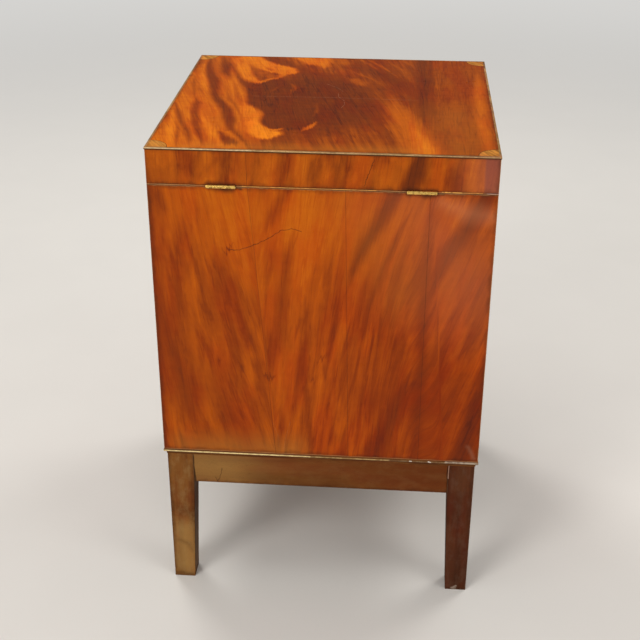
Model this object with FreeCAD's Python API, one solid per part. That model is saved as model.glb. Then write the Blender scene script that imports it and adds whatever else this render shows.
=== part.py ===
"""A square mahogany cellarette: a veneered bottle case with a hinged lid, screwed down on a low stand.

Millimetres. +Z is up, the lock side faces -Y, the hinge side faces +Y, and left and right are as seen from
the lock side. The origin is on the floor, at the centre of the footprint, key and hinge knuckles included.
"""
import FreeCAD, Part
import math
import os

from FreeCAD import Vector

# ---------------------------------------------------------------- overall sizes
CASE_WIDTH = 457.0
CASE_DEPTH = 457.0
STAND_HEIGHT = 238.0
CASE_HEIGHT = 411.0
LID_HEIGHT = 50.6
LID_GAP = 0.4

# ---------------------------------------------------------------- boards and veneers
WALL = 14.0
VENEER = 1.0
BOTTOM_BOARD = 12.0
BOTTOM_REBATE = 6.0
LID_BOARD = 10.0
VENEER_ARRIS = 0.7
# Where the seams of the back veneer lie, as shares of its width from the left, at the top and at the bottom.
VENEER_SEAMS = ((0.19, 0.19), (0.43, 0.41), (0.71, 0.64))
CASE_TAILS = 6
LID_TAILS = 1
TAIL_SHARE = 0.72
TAIL_SLOPE = 1.0 / 6.0

# ---------------------------------------------------------------- lid edge and corner inlay
STRING_WIDTH = 3.0
STRING_HEIGHT = 3.0
STRING_PROUD = 0.7
STRING_ROUND = 0.9
CORNER_INLAY = 26.0
INLAY_LINE = 0.7

# ---------------------------------------------------------------- bottle dividers
CELLS_PER_SIDE = 4
DIVIDER = 6.0
DIVIDER_HEIGHT = 200.0
DIVIDER_ROUND = 2.0
DIVIDER_CLEARANCE = 0.25
LAP_CLEARANCE = 0.1

# ---------------------------------------------------------------- stand
LEG = 38.0
LEG_FOOT = 31.5
LEG_INSET = 3.5
LEG_ARRIS = 1.0
RAIL_HEIGHT = 60.0
RAIL = 22.0
RAIL_SETBACK = 1.5
RAIL_ARRIS = 0.8
TENON = 9.0
TENON_LENGTH = 20.0
TENON_SHOULDER = 7.0
BEAD_HEIGHT = 5.0
COVE_HEIGHT = 5.0
MOULDING_OVERHANG = 1.0
BEAD_NOSE = 1.2
COVE_FILLET = 0.6
BLOCK_REACH = 60.0
BLOCK_HEIGHT = 40.0

# ---------------------------------------------------------------- screws: shank radius, head radius, length
HINGE_SCREW = (1.4, 2.7, 12.0)
LOCK_SCREW = (1.0, 2.0, 9.0)
CASE_SCREW = (2.2, 4.4, 48.0)
SCREW_CLEARANCE = 0.06
SCREW_SLOT = 0.6
SCREW_TIP = 0.3

# ---------------------------------------------------------------- butt hinges
HINGE_LENGTH = 38.0
HINGE_SPACING = 261.0
LEAF_WIDTH = 14.0
LEAF = 1.6
KNUCKLE_RADIUS = 2.7
KNUCKLES = 5
KNUCKLE_GAP = 0.2
PIN_RADIUS = 1.2
PIN_CLEARANCE = 0.05
PIN_STANDOFF = 1.2
PIN_HEAD = 0.5
PIN_HEAD_RADIUS = 2.1
RUNNING_GAP = 0.3
HINGE_SCREW_SPACING = 22.0
HINGE_SCREW_INSET = 5.0

# ---------------------------------------------------------------- lock
LOCK_WIDTH = 72.0
LOCK_HEIGHT = 40.0
LOCK_DEPTH = 11.0
LOCK_PLATE = 1.6
LOCK_SHEET = 1.0
LOCK_MARGIN = 6.0
LOCK_LOWER_MARGIN = 2.2
BOLT = 2.4
BOLT_BAR = 6.7
BOLT_TRAVEL = 6.0
BOLT_CLEARANCE = 0.1
BOLT_ARM = 5.0
BOLT_END_GAP = 1.0
TONGUE_HEIGHT = 4.4
STUD_RADIUS = 1.4
STUD_SHOULDER = 2.6
SPRING = 0.5
SPRING_RADIUS = 9.0
SPRING_LEG = 5.0
SPRING_LIP = 2.0
LINK_SPACING = 28.0
LINK = 3.0
LINK_WALL = 1.2
LINK_REACH = 10.5
LINK_EYE_TOP = 2.9
LINK_CLEARANCE = 0.3
LINK_SLOT_CLEARANCE = 0.6
LINK_PLATE_WIDTH = 60.0
LINK_PLATE_DEPTH = 10.0
LINK_SCREW_SPACING = 48.0

# ---------------------------------------------------------------- key and keyhole
KEY_SHANK = 2.4
KEY_POST = 1.25
KEY_RUNNING = 0.1
KEY_BIT = 10.0
BIT_THICKNESS = 2.4
BIT_WIDTH = 6.0
BIT_BITE = 2.0
BIT_SETBACK = 1.0
WARD_RADIUS = 6.4
WARD = 0.8
WARD_HEIGHT = 2.0
KEY_STEM = 9.0
KEY_COLLAR = 3.8
COLLAR_LENGTH = 1.5
COLLAR_GAP = 0.5
BOW_RING = 8.0
BOW_WIRE = 1.9
KEYHOLE_CLEARANCE = 0.6
ESCUTCHEON = 0.9

# ---------------------------------------------------------------- modelling allowances
# How far a cutting shape runs past the face it cuts, and how near two coordinates are when they are the same.
PAST = 1.0
TOUCH = 0.01

# ---------------------------------------------------------------- places worked out from the sizes
RIM = STAND_HEIGHT + CASE_HEIGHT
LID_BOTTOM = RIM + LID_GAP
LID_TOP = LID_BOTTOM + LID_HEIGHT
LID_BOARD_TOP = LID_TOP - VENEER
LID_BOARD_BOTTOM = LID_BOARD_TOP - LID_BOARD
STRING_BOTTOM = LID_TOP - STRING_HEIGHT
HALF_X = CASE_WIDTH / 2
HALF_Y = CASE_DEPTH / 2
CARCASS_X = HALF_X - VENEER
CARCASS_Y = HALF_Y - VENEER
INSIDE_X = CARCASS_X - WALL
INSIDE_Y = CARCASS_Y - WALL
RAIL_BOTTOM = STAND_HEIGHT - RAIL_HEIGHT
PIN_Y = HALF_Y + PIN_STANDOFF
PIN_Z = RIM + LID_GAP / 2
HINGE_PLACES = {"left": -HINGE_SPACING / 2, "right": HINGE_SPACING / 2}

# The lock is drawn from the inner face of the front wall, outwards, and from the rim, downwards.
LOCK_FACE = -INSIDE_Y
LINK_HALF = BOLT / 2 + LINK_CLEARANCE + LINK_WALL
BOLT_Y = LOCK_FACE - LOCK_PLATE - LINK_CLEARANCE - LINK_HALF
BAR_TOP = RIM - LINK_REACH - 2 * LINK_CLEARANCE
BAR_BOTTOM = BAR_TOP - BOLT_BAR
KEY_Z = BAR_BOTTOM - KEY_BIT + BIT_BITE
CAP_HALF = LOCK_WIDTH / 2 - LOCK_MARGIN
CAP_BOTTOM = RIM - LOCK_HEIGHT + LOCK_LOWER_MARGIN
SHANK_BACK = LOCK_FACE - LOCK_PLATE - 2 * BOLT_CLEARANCE
BIT_BACK = SHANK_BACK - BIT_SETBACK
ARM_REACH = LINK / 2 + BOLT_TRAVEL + 2 * LINK_CLEARANCE
STUD_PLACES = (-LINK_SPACING / 2 - LINK, LINK_SPACING / 2 + LINK)
BOLT_LEFT = -LINK_SPACING / 2 - ARM_REACH - BOLT_ARM
BOLT_RIGHT = CAP_HALF - LOCK_SHEET - BOLT_TRAVEL - BOLT_END_GAP
KEY_FRONT = -HALF_Y - KEY_STEM - 2 * BOW_RING - BOW_WIRE
ORIGIN_SHIFT = -(KEY_FRONT + PIN_Y + KNUCKLE_RADIUS) / 2


# ---------------------------------------------------------------- helpers
def box(x0, x1, y0, y1, z0, z1):
    """A box between two values on each axis, in either order."""
    low = Vector(min(x0, x1), min(y0, y1), min(z0, z1))
    return Part.makeBox(abs(x1 - x0), abs(y1 - y0), abs(z1 - z0), low)


def prism(points, direction):
    """A closed outline of points, pushed along a direction."""
    outline = [Vector(*p) for p in points]
    return Part.Face(Part.makePolygon(outline + outline[:1])).extrude(Vector(*direction))


def rod(radius, start, end):
    """A round bar from one point to another."""
    run = Vector(*end) - Vector(*start)
    return Part.makeCylinder(radius, run.Length, Vector(*start), run)


def joined(shapes):
    """One solid out of several that meet."""
    first, *rest = shapes
    return first.fuse(rest).removeSplitter()


def rounded(shape, radius, wanted):
    """The shape with a fillet on each straight edge that the test picks."""
    edges = [e for e in shape.Edges if len(e.Vertexes) == 2 and wanted(*[v.Point for v in e.Vertexes])]
    return shape.makeFillet(radius, edges)


def save(node, *solids):
    """Writes a node's solids to its STEP file, with the origin at the centre of the footprint."""
    whole = Part.makeCompound([s for shape in solids for s in shape.Solids])
    whole.translate(Vector(0, ORIGIN_SHIFT, 0))
    whole.exportStep(f"parts/{node}.step")


def countersunk(kind, head, direction, grow=0.0):
    """A countersunk screw without its slot; with grow it is the hole that the screw goes in."""
    shank, head_radius, length = kind
    start = Vector(*head)
    along = Vector(*direction)
    cone = Part.makeCone(head_radius + grow, shank + grow, head_radius - shank, start, along)
    body = Part.makeCylinder(shank + grow, length - shank + grow, start, along)
    tip_at = start + along * (length - shank + grow)
    tip = Part.makeCone(shank + grow, SCREW_TIP * shank + grow, shank, tip_at, along)
    return joined([cone, body, tip])


def screw(kind, head, direction):
    """A slotted countersunk screw."""
    across = Vector(0, 1, 0) if abs(direction[0]) + abs(direction[2]) else Vector(0, 0, 1)
    head_radius = kind[1]
    side = Vector(*direction).cross(across)
    corner = Vector(*head) - across * head_radius - side * (SCREW_SLOT / 2)
    outline = [corner, corner + across * 2 * head_radius]
    outline += [outline[1] + side * SCREW_SLOT, corner + side * SCREW_SLOT]
    slot = Part.Face(Part.makePolygon(outline + outline[:1])).extrude(Vector(*direction) * SCREW_SLOT)
    return countersunk(kind, head, direction).cut(slot)


def screw_hole(kind, head, direction):
    """The hole for a screw, a little wider than the screw."""
    return countersunk(kind, head, direction, SCREW_CLEARANCE)


# ---------------------------------------------------------------- dovetailed box of four walls
def tails(side_x, side_y, z0, z1, count):
    """The tails on one end of a side wall: they widen outwards, through the thickness of the end wall."""
    pitch = (z1 - z0) / count
    wide = TAIL_SHARE * pitch / 2
    narrow = wide - TAIL_SLOPE * WALL
    start = side_y * INSIDE_Y
    end = side_y * CARCASS_Y
    x = side_x * INSIDE_X
    made = []
    for number in range(count):
        z = z0 + (number + 0.5) * pitch
        outline = [(x, start, z - narrow), (x, end, z - wide), (x, end, z + wide), (x, start, z + narrow)]
        made.append(prism(outline, (side_x * WALL, 0, 0)))
    return made


def four_walls(z0, z1, count):
    """Left and right walls with tails, and front and back walls with the sockets for them."""
    walls = {}
    all_tails = []
    for name, side_x in (("left", -1), ("right", 1)):
        own = tails(side_x, -1, z0, z1, count) + tails(side_x, 1, z0, z1, count)
        board = box(side_x * INSIDE_X, side_x * CARCASS_X, -INSIDE_Y, INSIDE_Y, z0, z1)
        walls[name] = joined([board] + own)
        all_tails += own
    for name, side_y in (("front", -1), ("back", 1)):
        board = box(-CARCASS_X, CARCASS_X, side_y * INSIDE_Y, side_y * CARCASS_Y, z0, z1)
        walls[name] = board.cut(all_tails)
    return walls


def wall_veneers(z0, z1):
    """Veneer on the four faces; the front and back sheets lap the edges of the side sheets."""
    sheets = {}
    for name, side_x in (("left", -1), ("right", 1)):
        sheets[name] = box(side_x * CARCASS_X, side_x * HALF_X, -CARCASS_Y, CARCASS_Y, z0, z1)
    for name, side_y in (("front", -1), ("back", 1)):
        sheet = box(-HALF_X, HALF_X, side_y * CARCASS_Y, side_y * HALF_Y, z0, z1)
        corner_y = side_y * HALF_Y
        sheets[name] = rounded(sheet, VENEER_ARRIS, lambda a, b: on_corner(a, b, corner_y))
    return sheets


def on_corner(a, b, corner_y):
    """True for an upright edge on an outer corner of the case."""
    upright = abs(a.z - b.z) > VENEER and abs(a.x - b.x) < TOUCH
    return upright and abs(abs(a.x) - HALF_X) < TOUCH and abs(a.y - corner_y) < TOUCH


def split_sheet(sheet, shares):
    """The back sheet of the case as leaves that meet at slightly leaning seams."""
    seams = [(0.0, 0.0)] + list(shares) + [(1.0, 1.0)]
    leaves = []
    for (top0, foot0), (top1, foot1) in zip(seams, seams[1:]):
        corners = [(top0, RIM), (top1, RIM), (foot1, STAND_HEIGHT), (foot0, STAND_HEIGHT)]
        outline = [(share * CASE_WIDTH - HALF_X, CARCASS_Y, z) for share, z in corners]
        leaves.append(sheet.common(prism(outline, (0, VENEER, 0))))
    return leaves


# ---------------------------------------------------------------- stand
def leg(side_x, side_y):
    """A square leg whose two inner faces taper below the rails, with mortises for two rails."""
    top = leg_section(side_x, side_y, LEG, STAND_HEIGHT)
    knee = leg_section(side_x, side_y, LEG, RAIL_BOTTOM)
    foot = leg_section(side_x, side_y, LEG_FOOT, 0)
    square = Part.makeLoft([knee, top], True, True)
    taper = Part.makeLoft([foot, knee], True, True)
    return square.fuse(taper).cut([tenon("x", side_x, side_y), tenon("y", side_x, side_y)])


def leg_section(side_x, side_y, size, z):
    """The outline of a leg at one height: a square with rounded arrises, flush with the leg's outer faces."""
    outer_x = side_x * (HALF_X - LEG_INSET)
    outer_y = side_y * (HALF_Y - LEG_INSET)
    plate = box(outer_x, outer_x - side_x * size, outer_y, outer_y - side_y * size, z, z + size)
    plate = rounded(plate, LEG_ARRIS, lambda a, b: abs(a.z - b.z) > LEG_ARRIS)
    return [face for face in plate.Faces if face.BoundBox.ZMax < z + LEG_ARRIS][0].OuterWire


def leg_block(side_x, side_y):
    """The plain square of the leg at rail height, for what is notched round it."""
    outer_x = side_x * (HALF_X - LEG_INSET)
    outer_y = side_y * (HALF_Y - LEG_INSET)
    return box(outer_x, outer_x - side_x * LEG, outer_y, outer_y - side_y * LEG, RAIL_BOTTOM, STAND_HEIGHT)


def tenon(run, side_x, side_y):
    """The tenon of the rail that runs along x or y, where it enters this leg."""
    low = RAIL_BOTTOM + TENON_SHOULDER
    high = STAND_HEIGHT - TENON_SHOULDER
    inner_x = side_x * (HALF_X - LEG_INSET - LEG)
    inner_y = side_y * (HALF_Y - LEG_INSET - LEG)
    middle = LEG_INSET + RAIL_SETBACK + RAIL / 2
    if run == "x":
        y = side_y * (HALF_Y - middle)
        return box(inner_x, inner_x + side_x * TENON_LENGTH, y - TENON / 2, y + TENON / 2, low, high)
    x = side_x * (HALF_X - middle)
    return box(x - TENON / 2, x + TENON / 2, inner_y, inner_y + side_y * TENON_LENGTH, low, high)


def rail_along_x(side_y):
    """The front or back rail, with a tenon on each end."""
    reach = HALF_X - LEG_INSET - LEG
    outer = side_y * (HALF_Y - LEG_INSET - RAIL_SETBACK)
    board = box(-reach, reach, outer, outer - side_y * RAIL, RAIL_BOTTOM, STAND_HEIGHT)
    board = rounded(board, RAIL_ARRIS, lambda a, b: on_lower_edge(a, b) and abs(a.y - outer) < TOUCH)
    return joined([board, tenon("x", -1, side_y), tenon("x", 1, side_y)])


def rail_along_y(side_x):
    """The left or right rail, with a tenon on each end."""
    reach = HALF_Y - LEG_INSET - LEG
    outer = side_x * (HALF_X - LEG_INSET - RAIL_SETBACK)
    board = box(outer, outer - side_x * RAIL, -reach, reach, RAIL_BOTTOM, STAND_HEIGHT)
    board = rounded(board, RAIL_ARRIS, lambda a, b: on_lower_edge(a, b) and abs(a.x - outer) < TOUCH)
    return joined([board, tenon("y", side_x, -1), tenon("y", side_x, 1)])


def on_lower_edge(a, b):
    """True for a long level edge at the bottom of a rail."""
    level = abs(a.z - RAIL_BOTTOM) < TOUCH and abs(b.z - RAIL_BOTTOM) < TOUCH
    return level and (a - b).Length > 2 * RAIL


def moulding_face(place):
    """The moulding's section, a bead over a cove, placed by a function of outward and up distances."""
    reach = LEG_INSET + RAIL_SETBACK + MOULDING_OVERHANG
    neck = reach - BEAD_NOSE - COVE_FILLET
    foot = RAIL_SETBACK + COVE_FILLET
    cove = neck - foot
    bead_foot = -BEAD_HEIGHT
    bottom = bead_foot - COVE_HEIGHT
    slant = math.sqrt(0.5)
    top_out = place(reach - BEAD_NOSE, 0)
    nose = place(reach, bead_foot / 2)
    bead_end = place(reach - BEAD_NOSE, bead_foot)
    cove_start = place(neck, bead_foot)
    cove_middle = place(neck - slant * cove, bottom + slant * COVE_HEIGHT)
    cove_end = place(foot, bottom)
    edges = [Part.LineSegment(place(0, 0), top_out), Part.Arc(top_out, nose, bead_end)]
    edges += [Part.LineSegment(bead_end, cove_start), Part.Arc(cove_start, cove_middle, cove_end)]
    edges += [Part.LineSegment(cove_end, place(0, bottom)), Part.LineSegment(place(0, bottom), place(0, 0))]
    return Part.Face(Part.Wire([e.toShape() for e in edges]))


def moulding(name):
    """One side of the stand's moulding, mitred at both ends and notched round the legs."""
    back_x = HALF_X - LEG_INSET - RAIL_SETBACK
    back_y = HALF_Y - LEG_INSET - RAIL_SETBACK
    far = HALF_X + HALF_Y
    if name in ("front", "back"):
        side = -1 if name == "front" else 1
        face = moulding_face(lambda out, up: Vector(-far, side * (back_y + out), STAND_HEIGHT + up))
        strip = face.extrude(Vector(2 * far, 0, 0))
        keep = wedge(lambda u, v: (u, side * v), back_x, back_y)
    else:
        side = -1 if name == "left" else 1
        face = moulding_face(lambda out, up: Vector(side * (back_x + out), -far, STAND_HEIGHT + up))
        strip = face.extrude(Vector(0, 2 * far, 0))
        keep = wedge(lambda u, v: (side * v, u), back_y, back_x)
    legs = [leg_block(side_x, side_y) for side_x in (-1, 1) for side_y in (-1, 1)]
    return strip.common(keep).cut(legs)


def wedge(place, half_length, back):
    """The space between two mitre planes that start at the corners of the rails' outer faces."""
    grow = CASE_WIDTH / 4
    flat = [(-half_length, back), (half_length, back), (half_length + grow, back + grow)]
    flat.append((-half_length - grow, back + grow))
    low = RAIL_BOTTOM
    return prism([(*place(u, v), low) for u, v in flat], (0, 0, 2 * RAIL_HEIGHT))


def block_screw_place(side_x, side_y):
    """The head of the screw that goes up through a corner block."""
    inner = LEG_INSET + LEG
    rail_inner = LEG_INSET + RAIL_SETBACK + RAIL
    middle = (inner + rail_inner + BLOCK_REACH / 2) / 2
    return (side_x * (HALF_X - middle), side_y * (HALF_Y - middle), STAND_HEIGHT - BLOCK_HEIGHT)


def corner_block(side_x, side_y):
    """A block glued into the corner of two rails, notched round the leg, with its screw's hole."""
    rail_inner = LEG_INSET + RAIL_SETBACK + RAIL
    leg_inner = LEG_INSET + LEG
    reach = rail_inner + BLOCK_REACH
    flat = [(leg_inner, rail_inner), (reach, rail_inner), (rail_inner, reach)]
    flat += [(rail_inner, leg_inner), (leg_inner, leg_inner)]
    bottom = STAND_HEIGHT - BLOCK_HEIGHT
    outline = [(side_x * (HALF_X - a), side_y * (HALF_Y - b), bottom) for a, b in flat]
    block = prism(outline, (0, 0, BLOCK_HEIGHT))
    return block.cut(screw_hole(CASE_SCREW, block_screw_place(side_x, side_y), (0, 0, 1)))


def build_stand():
    corners = {"front_left": (-1, -1), "front_right": (1, -1), "back_left": (-1, 1), "back_right": (1, 1)}
    for name, (side_x, side_y) in corners.items():
        save(f"leg_{name}", leg(side_x, side_y))
    save("rail_front", rail_along_x(-1))
    save("rail_back", rail_along_x(1))
    save("rail_left", rail_along_y(-1))
    save("rail_right", rail_along_y(1))
    for name in ("front", "back", "left", "right"):
        save(f"stand_moulding_{name}", moulding(name))
    save("corner_blocks", *[corner_block(*sides) for sides in corners.values()])
    heads = [block_screw_place(*sides) for sides in corners.values()]
    save("case_to_stand_screws", *[screw(CASE_SCREW, head, (0, 0, 1)) for head in heads])
    return [screw_hole(CASE_SCREW, head, (0, 0, 1)) for head in heads]


# ---------------------------------------------------------------- bottle dividers
def divider_places(inside):
    """The middles of the dividers along one way, so that all cells are equally wide."""
    pitch = (2 * inside + DIVIDER) / CELLS_PER_SIDE
    return [-inside - DIVIDER / 2 + pitch * number for number in range(1, CELLS_PER_SIDE)]


def divider(run, middle):
    """A divider with half-lap slots: those running along x are slotted from above, the others from below."""
    floor = STAND_HEIGHT + BOTTOM_BOARD
    top = floor + DIVIDER_HEIGHT
    half = DIVIDER / 2
    slot = half + LAP_CLEARANCE
    reach_x = INSIDE_X - DIVIDER_CLEARANCE
    reach_y = INSIDE_Y - DIVIDER_CLEARANCE
    lap = floor + DIVIDER_HEIGHT / 2
    if run == "x":
        board = box(-reach_x, reach_x, middle - half, middle + half, floor, top)
        cuts = [box(x - slot, x + slot, -reach_y, reach_y, lap - LAP_CLEARANCE, top + PAST)
                for x in divider_places(INSIDE_X)]
    else:
        board = box(middle - half, middle + half, -reach_y, reach_y, floor, top)
        cuts = [box(-reach_x, reach_x, y - slot, y + slot, floor - PAST, lap + LAP_CLEARANCE)
                for y in divider_places(INSIDE_Y)]
    board = rounded(board, DIVIDER_ROUND, lambda a, b: on_long_top(a, b, top))
    return board.cut(cuts)


def on_long_top(a, b, top):
    """True for a level edge along the length of a divider's top."""
    return min(a.z, b.z) > top - TOUCH and (a - b).Length > DIVIDER_HEIGHT


def build_dividers():
    for number, y in enumerate(divider_places(INSIDE_Y), 1):
        save(f"divider_across_{number}", divider("x", y))
    for number, x in enumerate(divider_places(INSIDE_X), 1):
        save(f"divider_front_to_back_{number}", divider("y", x))


# ---------------------------------------------------------------- butt hinges
def knuckle_spans(middle, wanted):
    """The stretches of knuckle that belong to one leaf: even numbers to the case, odd to the lid."""
    length = HINGE_LENGTH / KNUCKLES
    start = middle - HINGE_LENGTH / 2
    spans = []
    for number in range(KNUCKLES):
        if number % 2 == wanted:
            x0 = start + number * length + (KNUCKLE_GAP / 2 if number else 0)
            x1 = start + (number + 1) * length - (KNUCKLE_GAP / 2 if number < KNUCKLES - 1 else 0)
            spans.append((x0, x1))
    return spans


def knuckle_rods(spans, radius, grow=0.0):
    """Round bars on the pin's axis over these stretches."""
    return [rod(radius, (x0 - grow, PIN_Y, PIN_Z), (x1 + grow, PIN_Y, PIN_Z)) for x0, x1 in spans]


def hinge_screw_places(middle, z):
    """The heads of the screws in one leaf."""
    y = PIN_Y - LEAF_WIDTH + HINGE_SCREW_INSET
    return [(middle + side * HINGE_SCREW_SPACING / 2, y, z) for side in (-1, 1)]


def hinge_plate(middle, z0, z1):
    """The flat plate of a leaf, from its inner edge to the pin's axis."""
    half = HINGE_LENGTH / 2
    return box(middle - half, middle + half, PIN_Y - LEAF_WIDTH, PIN_Y, z0, z1)


def hinge_leaf(middle, plate, own, screw_z, direction):
    """A leaf: plate and knuckles, bored for the pin, clear of the other leaf's knuckles."""
    bars = knuckle_rods(knuckle_spans(middle, own), KNUCKLE_RADIUS)
    others = knuckle_rods(knuckle_spans(middle, 1 - own), KNUCKLE_RADIUS + RUNNING_GAP, KNUCKLE_GAP)
    half = HINGE_LENGTH / 2 + PAST
    bore = rod(PIN_RADIUS + PIN_CLEARANCE, (middle - half, PIN_Y, PIN_Z), (middle + half, PIN_Y, PIN_Z))
    holes = [screw_hole(HINGE_SCREW, at, direction) for at in hinge_screw_places(middle, screw_z)]
    return joined([plate.cut(others)] + bars).cut([bore] + holes)


def hinge_pin(middle):
    """The pin, with a low head on each end that keeps it in the knuckles."""
    half = HINGE_LENGTH / 2
    bar = rod(PIN_RADIUS, (middle - half - PIN_HEAD, PIN_Y, PIN_Z), (middle + half + PIN_HEAD, PIN_Y, PIN_Z))
    heads = []
    for side in (-1, 1):
        x = middle + side * half
        heads.append(rod(PIN_HEAD_RADIUS, (x, PIN_Y, PIN_Z), (x + side * PIN_HEAD, PIN_Y, PIN_Z)))
    return joined([bar] + heads)


def knuckle_relief(middle):
    """The groove that the knuckles lie in, across the edge of the case and of the lid."""
    half = HINGE_LENGTH / 2 + PIN_HEAD + RUNNING_GAP
    return rod(KNUCKLE_RADIUS + RUNNING_GAP, (middle - half, PIN_Y, PIN_Z), (middle + half, PIN_Y, PIN_Z))


def build_hinges():
    """Saves both hinges, and returns what they need cut out of the case's back and of the lid's back."""
    case_cuts = []
    lid_cuts = []
    case_screws = []
    lid_screws = []
    for name, middle in HINGE_PLACES.items():
        case_plate = hinge_plate(middle, RIM - LEAF, RIM)
        lid_plate = hinge_plate(middle, LID_BOTTOM, LID_BOTTOM + LEAF)
        save(f"hinge_{name}_case_leaf", hinge_leaf(middle, case_plate, 0, RIM, (0, 0, -1)))
        save(f"hinge_{name}_lid_leaf", hinge_leaf(middle, lid_plate, 1, LID_BOTTOM, (0, 0, 1)))
        save(f"hinge_{name}_pin", hinge_pin(middle))
        case_heads = hinge_screw_places(middle, RIM)
        lid_heads = hinge_screw_places(middle, LID_BOTTOM)
        case_screws += [screw(HINGE_SCREW, at, (0, 0, -1)) for at in case_heads]
        lid_screws += [screw(HINGE_SCREW, at, (0, 0, 1)) for at in lid_heads]
        case_cuts += [case_plate, knuckle_relief(middle)]
        case_cuts += [screw_hole(HINGE_SCREW, at, (0, 0, -1)) for at in case_heads]
        lid_cuts += [lid_plate, knuckle_relief(middle)]
        lid_cuts += [screw_hole(HINGE_SCREW, at, (0, 0, 1)) for at in lid_heads]
    save("hinge_screws_case", *case_screws)
    save("hinge_screws_lid", *lid_screws)
    return case_cuts, lid_cuts


# ---------------------------------------------------------------- lock, link plate, key
def keyhole(grow, y0, y1):
    """The space of a keyhole: round for the shank, with a slot below it for the bit."""
    round_part = rod(KEY_SHANK + grow, (0, y0, KEY_Z), (0, y1, KEY_Z))
    half = BIT_THICKNESS / 2 + grow
    foot = KEY_Z - KEY_BIT + BIT_THICKNESS / 2
    slot = box(-half, half, y0, y1, foot, KEY_Z)
    end = rod(half, (0, y0, foot), (0, y1, foot))
    return joined([round_part, slot, end])


def link_places():
    return [-LINK_SPACING / 2, LINK_SPACING / 2]


def lock_screw_places():
    """The heads of the four screws through the lock's plate."""
    x = (LOCK_WIDTH - LOCK_MARGIN) / 2
    high = RIM - LOCK_PLATE - 2 * LOCK_SCREW[1]
    low = RIM - LOCK_HEIGHT + 2 * LOCK_SCREW[1]
    return [(side * x, LOCK_FACE, z) for side in (-1, 1) for z in (low, high)]


def lock_plate():
    """The brass plate against the inside of the case, its top flange, the bolt's studs and the key's post."""
    half = LOCK_WIDTH / 2
    back = LOCK_FACE - LOCK_PLATE
    plate = box(-half, half, back, LOCK_FACE, RIM - LOCK_HEIGHT, RIM)
    flange = box(-half, half, LOCK_FACE - LOCK_DEPTH, LOCK_FACE, RIM - LOCK_PLATE, RIM)
    z = (BAR_TOP + BAR_BOTTOM) / 2
    bolt_face = BOLT_Y + BOLT / 2 + BOLT_CLEARANCE
    pieces = [plate, flange]
    for x in STUD_PLACES:
        pieces.append(rod(STUD_SHOULDER, (x, back, z), (x, bolt_face, z)))
        pieces.append(rod(STUD_RADIUS, (x, back, z), (x, BOLT_Y - BOLT, z)))
    pieces.append(rod(KEY_POST, (0, back, KEY_Z), (0, LOCK_FACE - LOCK_DEPTH + LOCK_SHEET, KEY_Z)))
    slots = [link_slot(x) for x in link_places()]
    holes = [screw_hole(LOCK_SCREW, at, (0, -1, 0)) for at in lock_screw_places()]
    return joined(pieces).cut(slots + holes)


def link_slot(x):
    """The slot in the lock's flange that a link drops through."""
    half_x = LINK / 2 + LINK_SLOT_CLEARANCE
    half_y = LINK_HALF + LINK_CLEARANCE
    return box(x - half_x, x + half_x, BOLT_Y - half_y, BOLT_Y + half_y, RIM - 2 * LOCK_PLATE, RIM + PAST)


def lock_cap():
    """The folded cover over the works, with the keyhole and a ring-shaped ward round it."""
    front = LOCK_FACE - LOCK_DEPTH
    back = LOCK_FACE - LOCK_PLATE
    top = RIM - LOCK_PLATE
    shell = box(-CAP_HALF, CAP_HALF, front, back, CAP_BOTTOM, top)
    inner = CAP_HALF - LOCK_SHEET
    hollow = box(-inner, inner, front + LOCK_SHEET, back + PAST, CAP_BOTTOM + LOCK_SHEET, top - LOCK_SHEET)
    slots = [link_slot(x) for x in link_places()]
    ward_front = front + LOCK_SHEET / 2
    ward_back = front + LOCK_SHEET + WARD_HEIGHT
    ward = rod(WARD_RADIUS + WARD / 2, (0, ward_front, KEY_Z), (0, ward_back, KEY_Z))
    ward = ward.cut(rod(WARD_RADIUS - WARD / 2, (0, ward_front - PAST, KEY_Z), (0, ward_back + PAST, KEY_Z)))
    hole = keyhole(KEYHOLE_CLEARANCE, front - PAST, back)
    post_end = rod(KEY_POST + KEY_RUNNING, (0, front - PAST, KEY_Z), (0, back, KEY_Z))
    return joined([shell.cut([hollow] + slots), ward]).cut([hole, post_end])


def lock_pocket():
    """What the lock needs cut out of the front wall: plate, flange, works and screws."""
    half = LOCK_WIDTH / 2
    plate = box(-half, half, LOCK_FACE - LOCK_PLATE, LOCK_FACE + PAST, RIM - LOCK_HEIGHT, RIM + PAST)
    flange = box(-half, half, LOCK_FACE - LOCK_DEPTH, LOCK_FACE + PAST, RIM - LOCK_PLATE, RIM + PAST)
    works = box(-CAP_HALF, CAP_HALF, LOCK_FACE - LOCK_DEPTH, LOCK_FACE + PAST, CAP_BOTTOM, RIM + PAST)
    holes = [screw_hole(LOCK_SCREW, at, (0, -1, 0)) for at in lock_screw_places()]
    return [plate, flange, works] + holes


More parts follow.
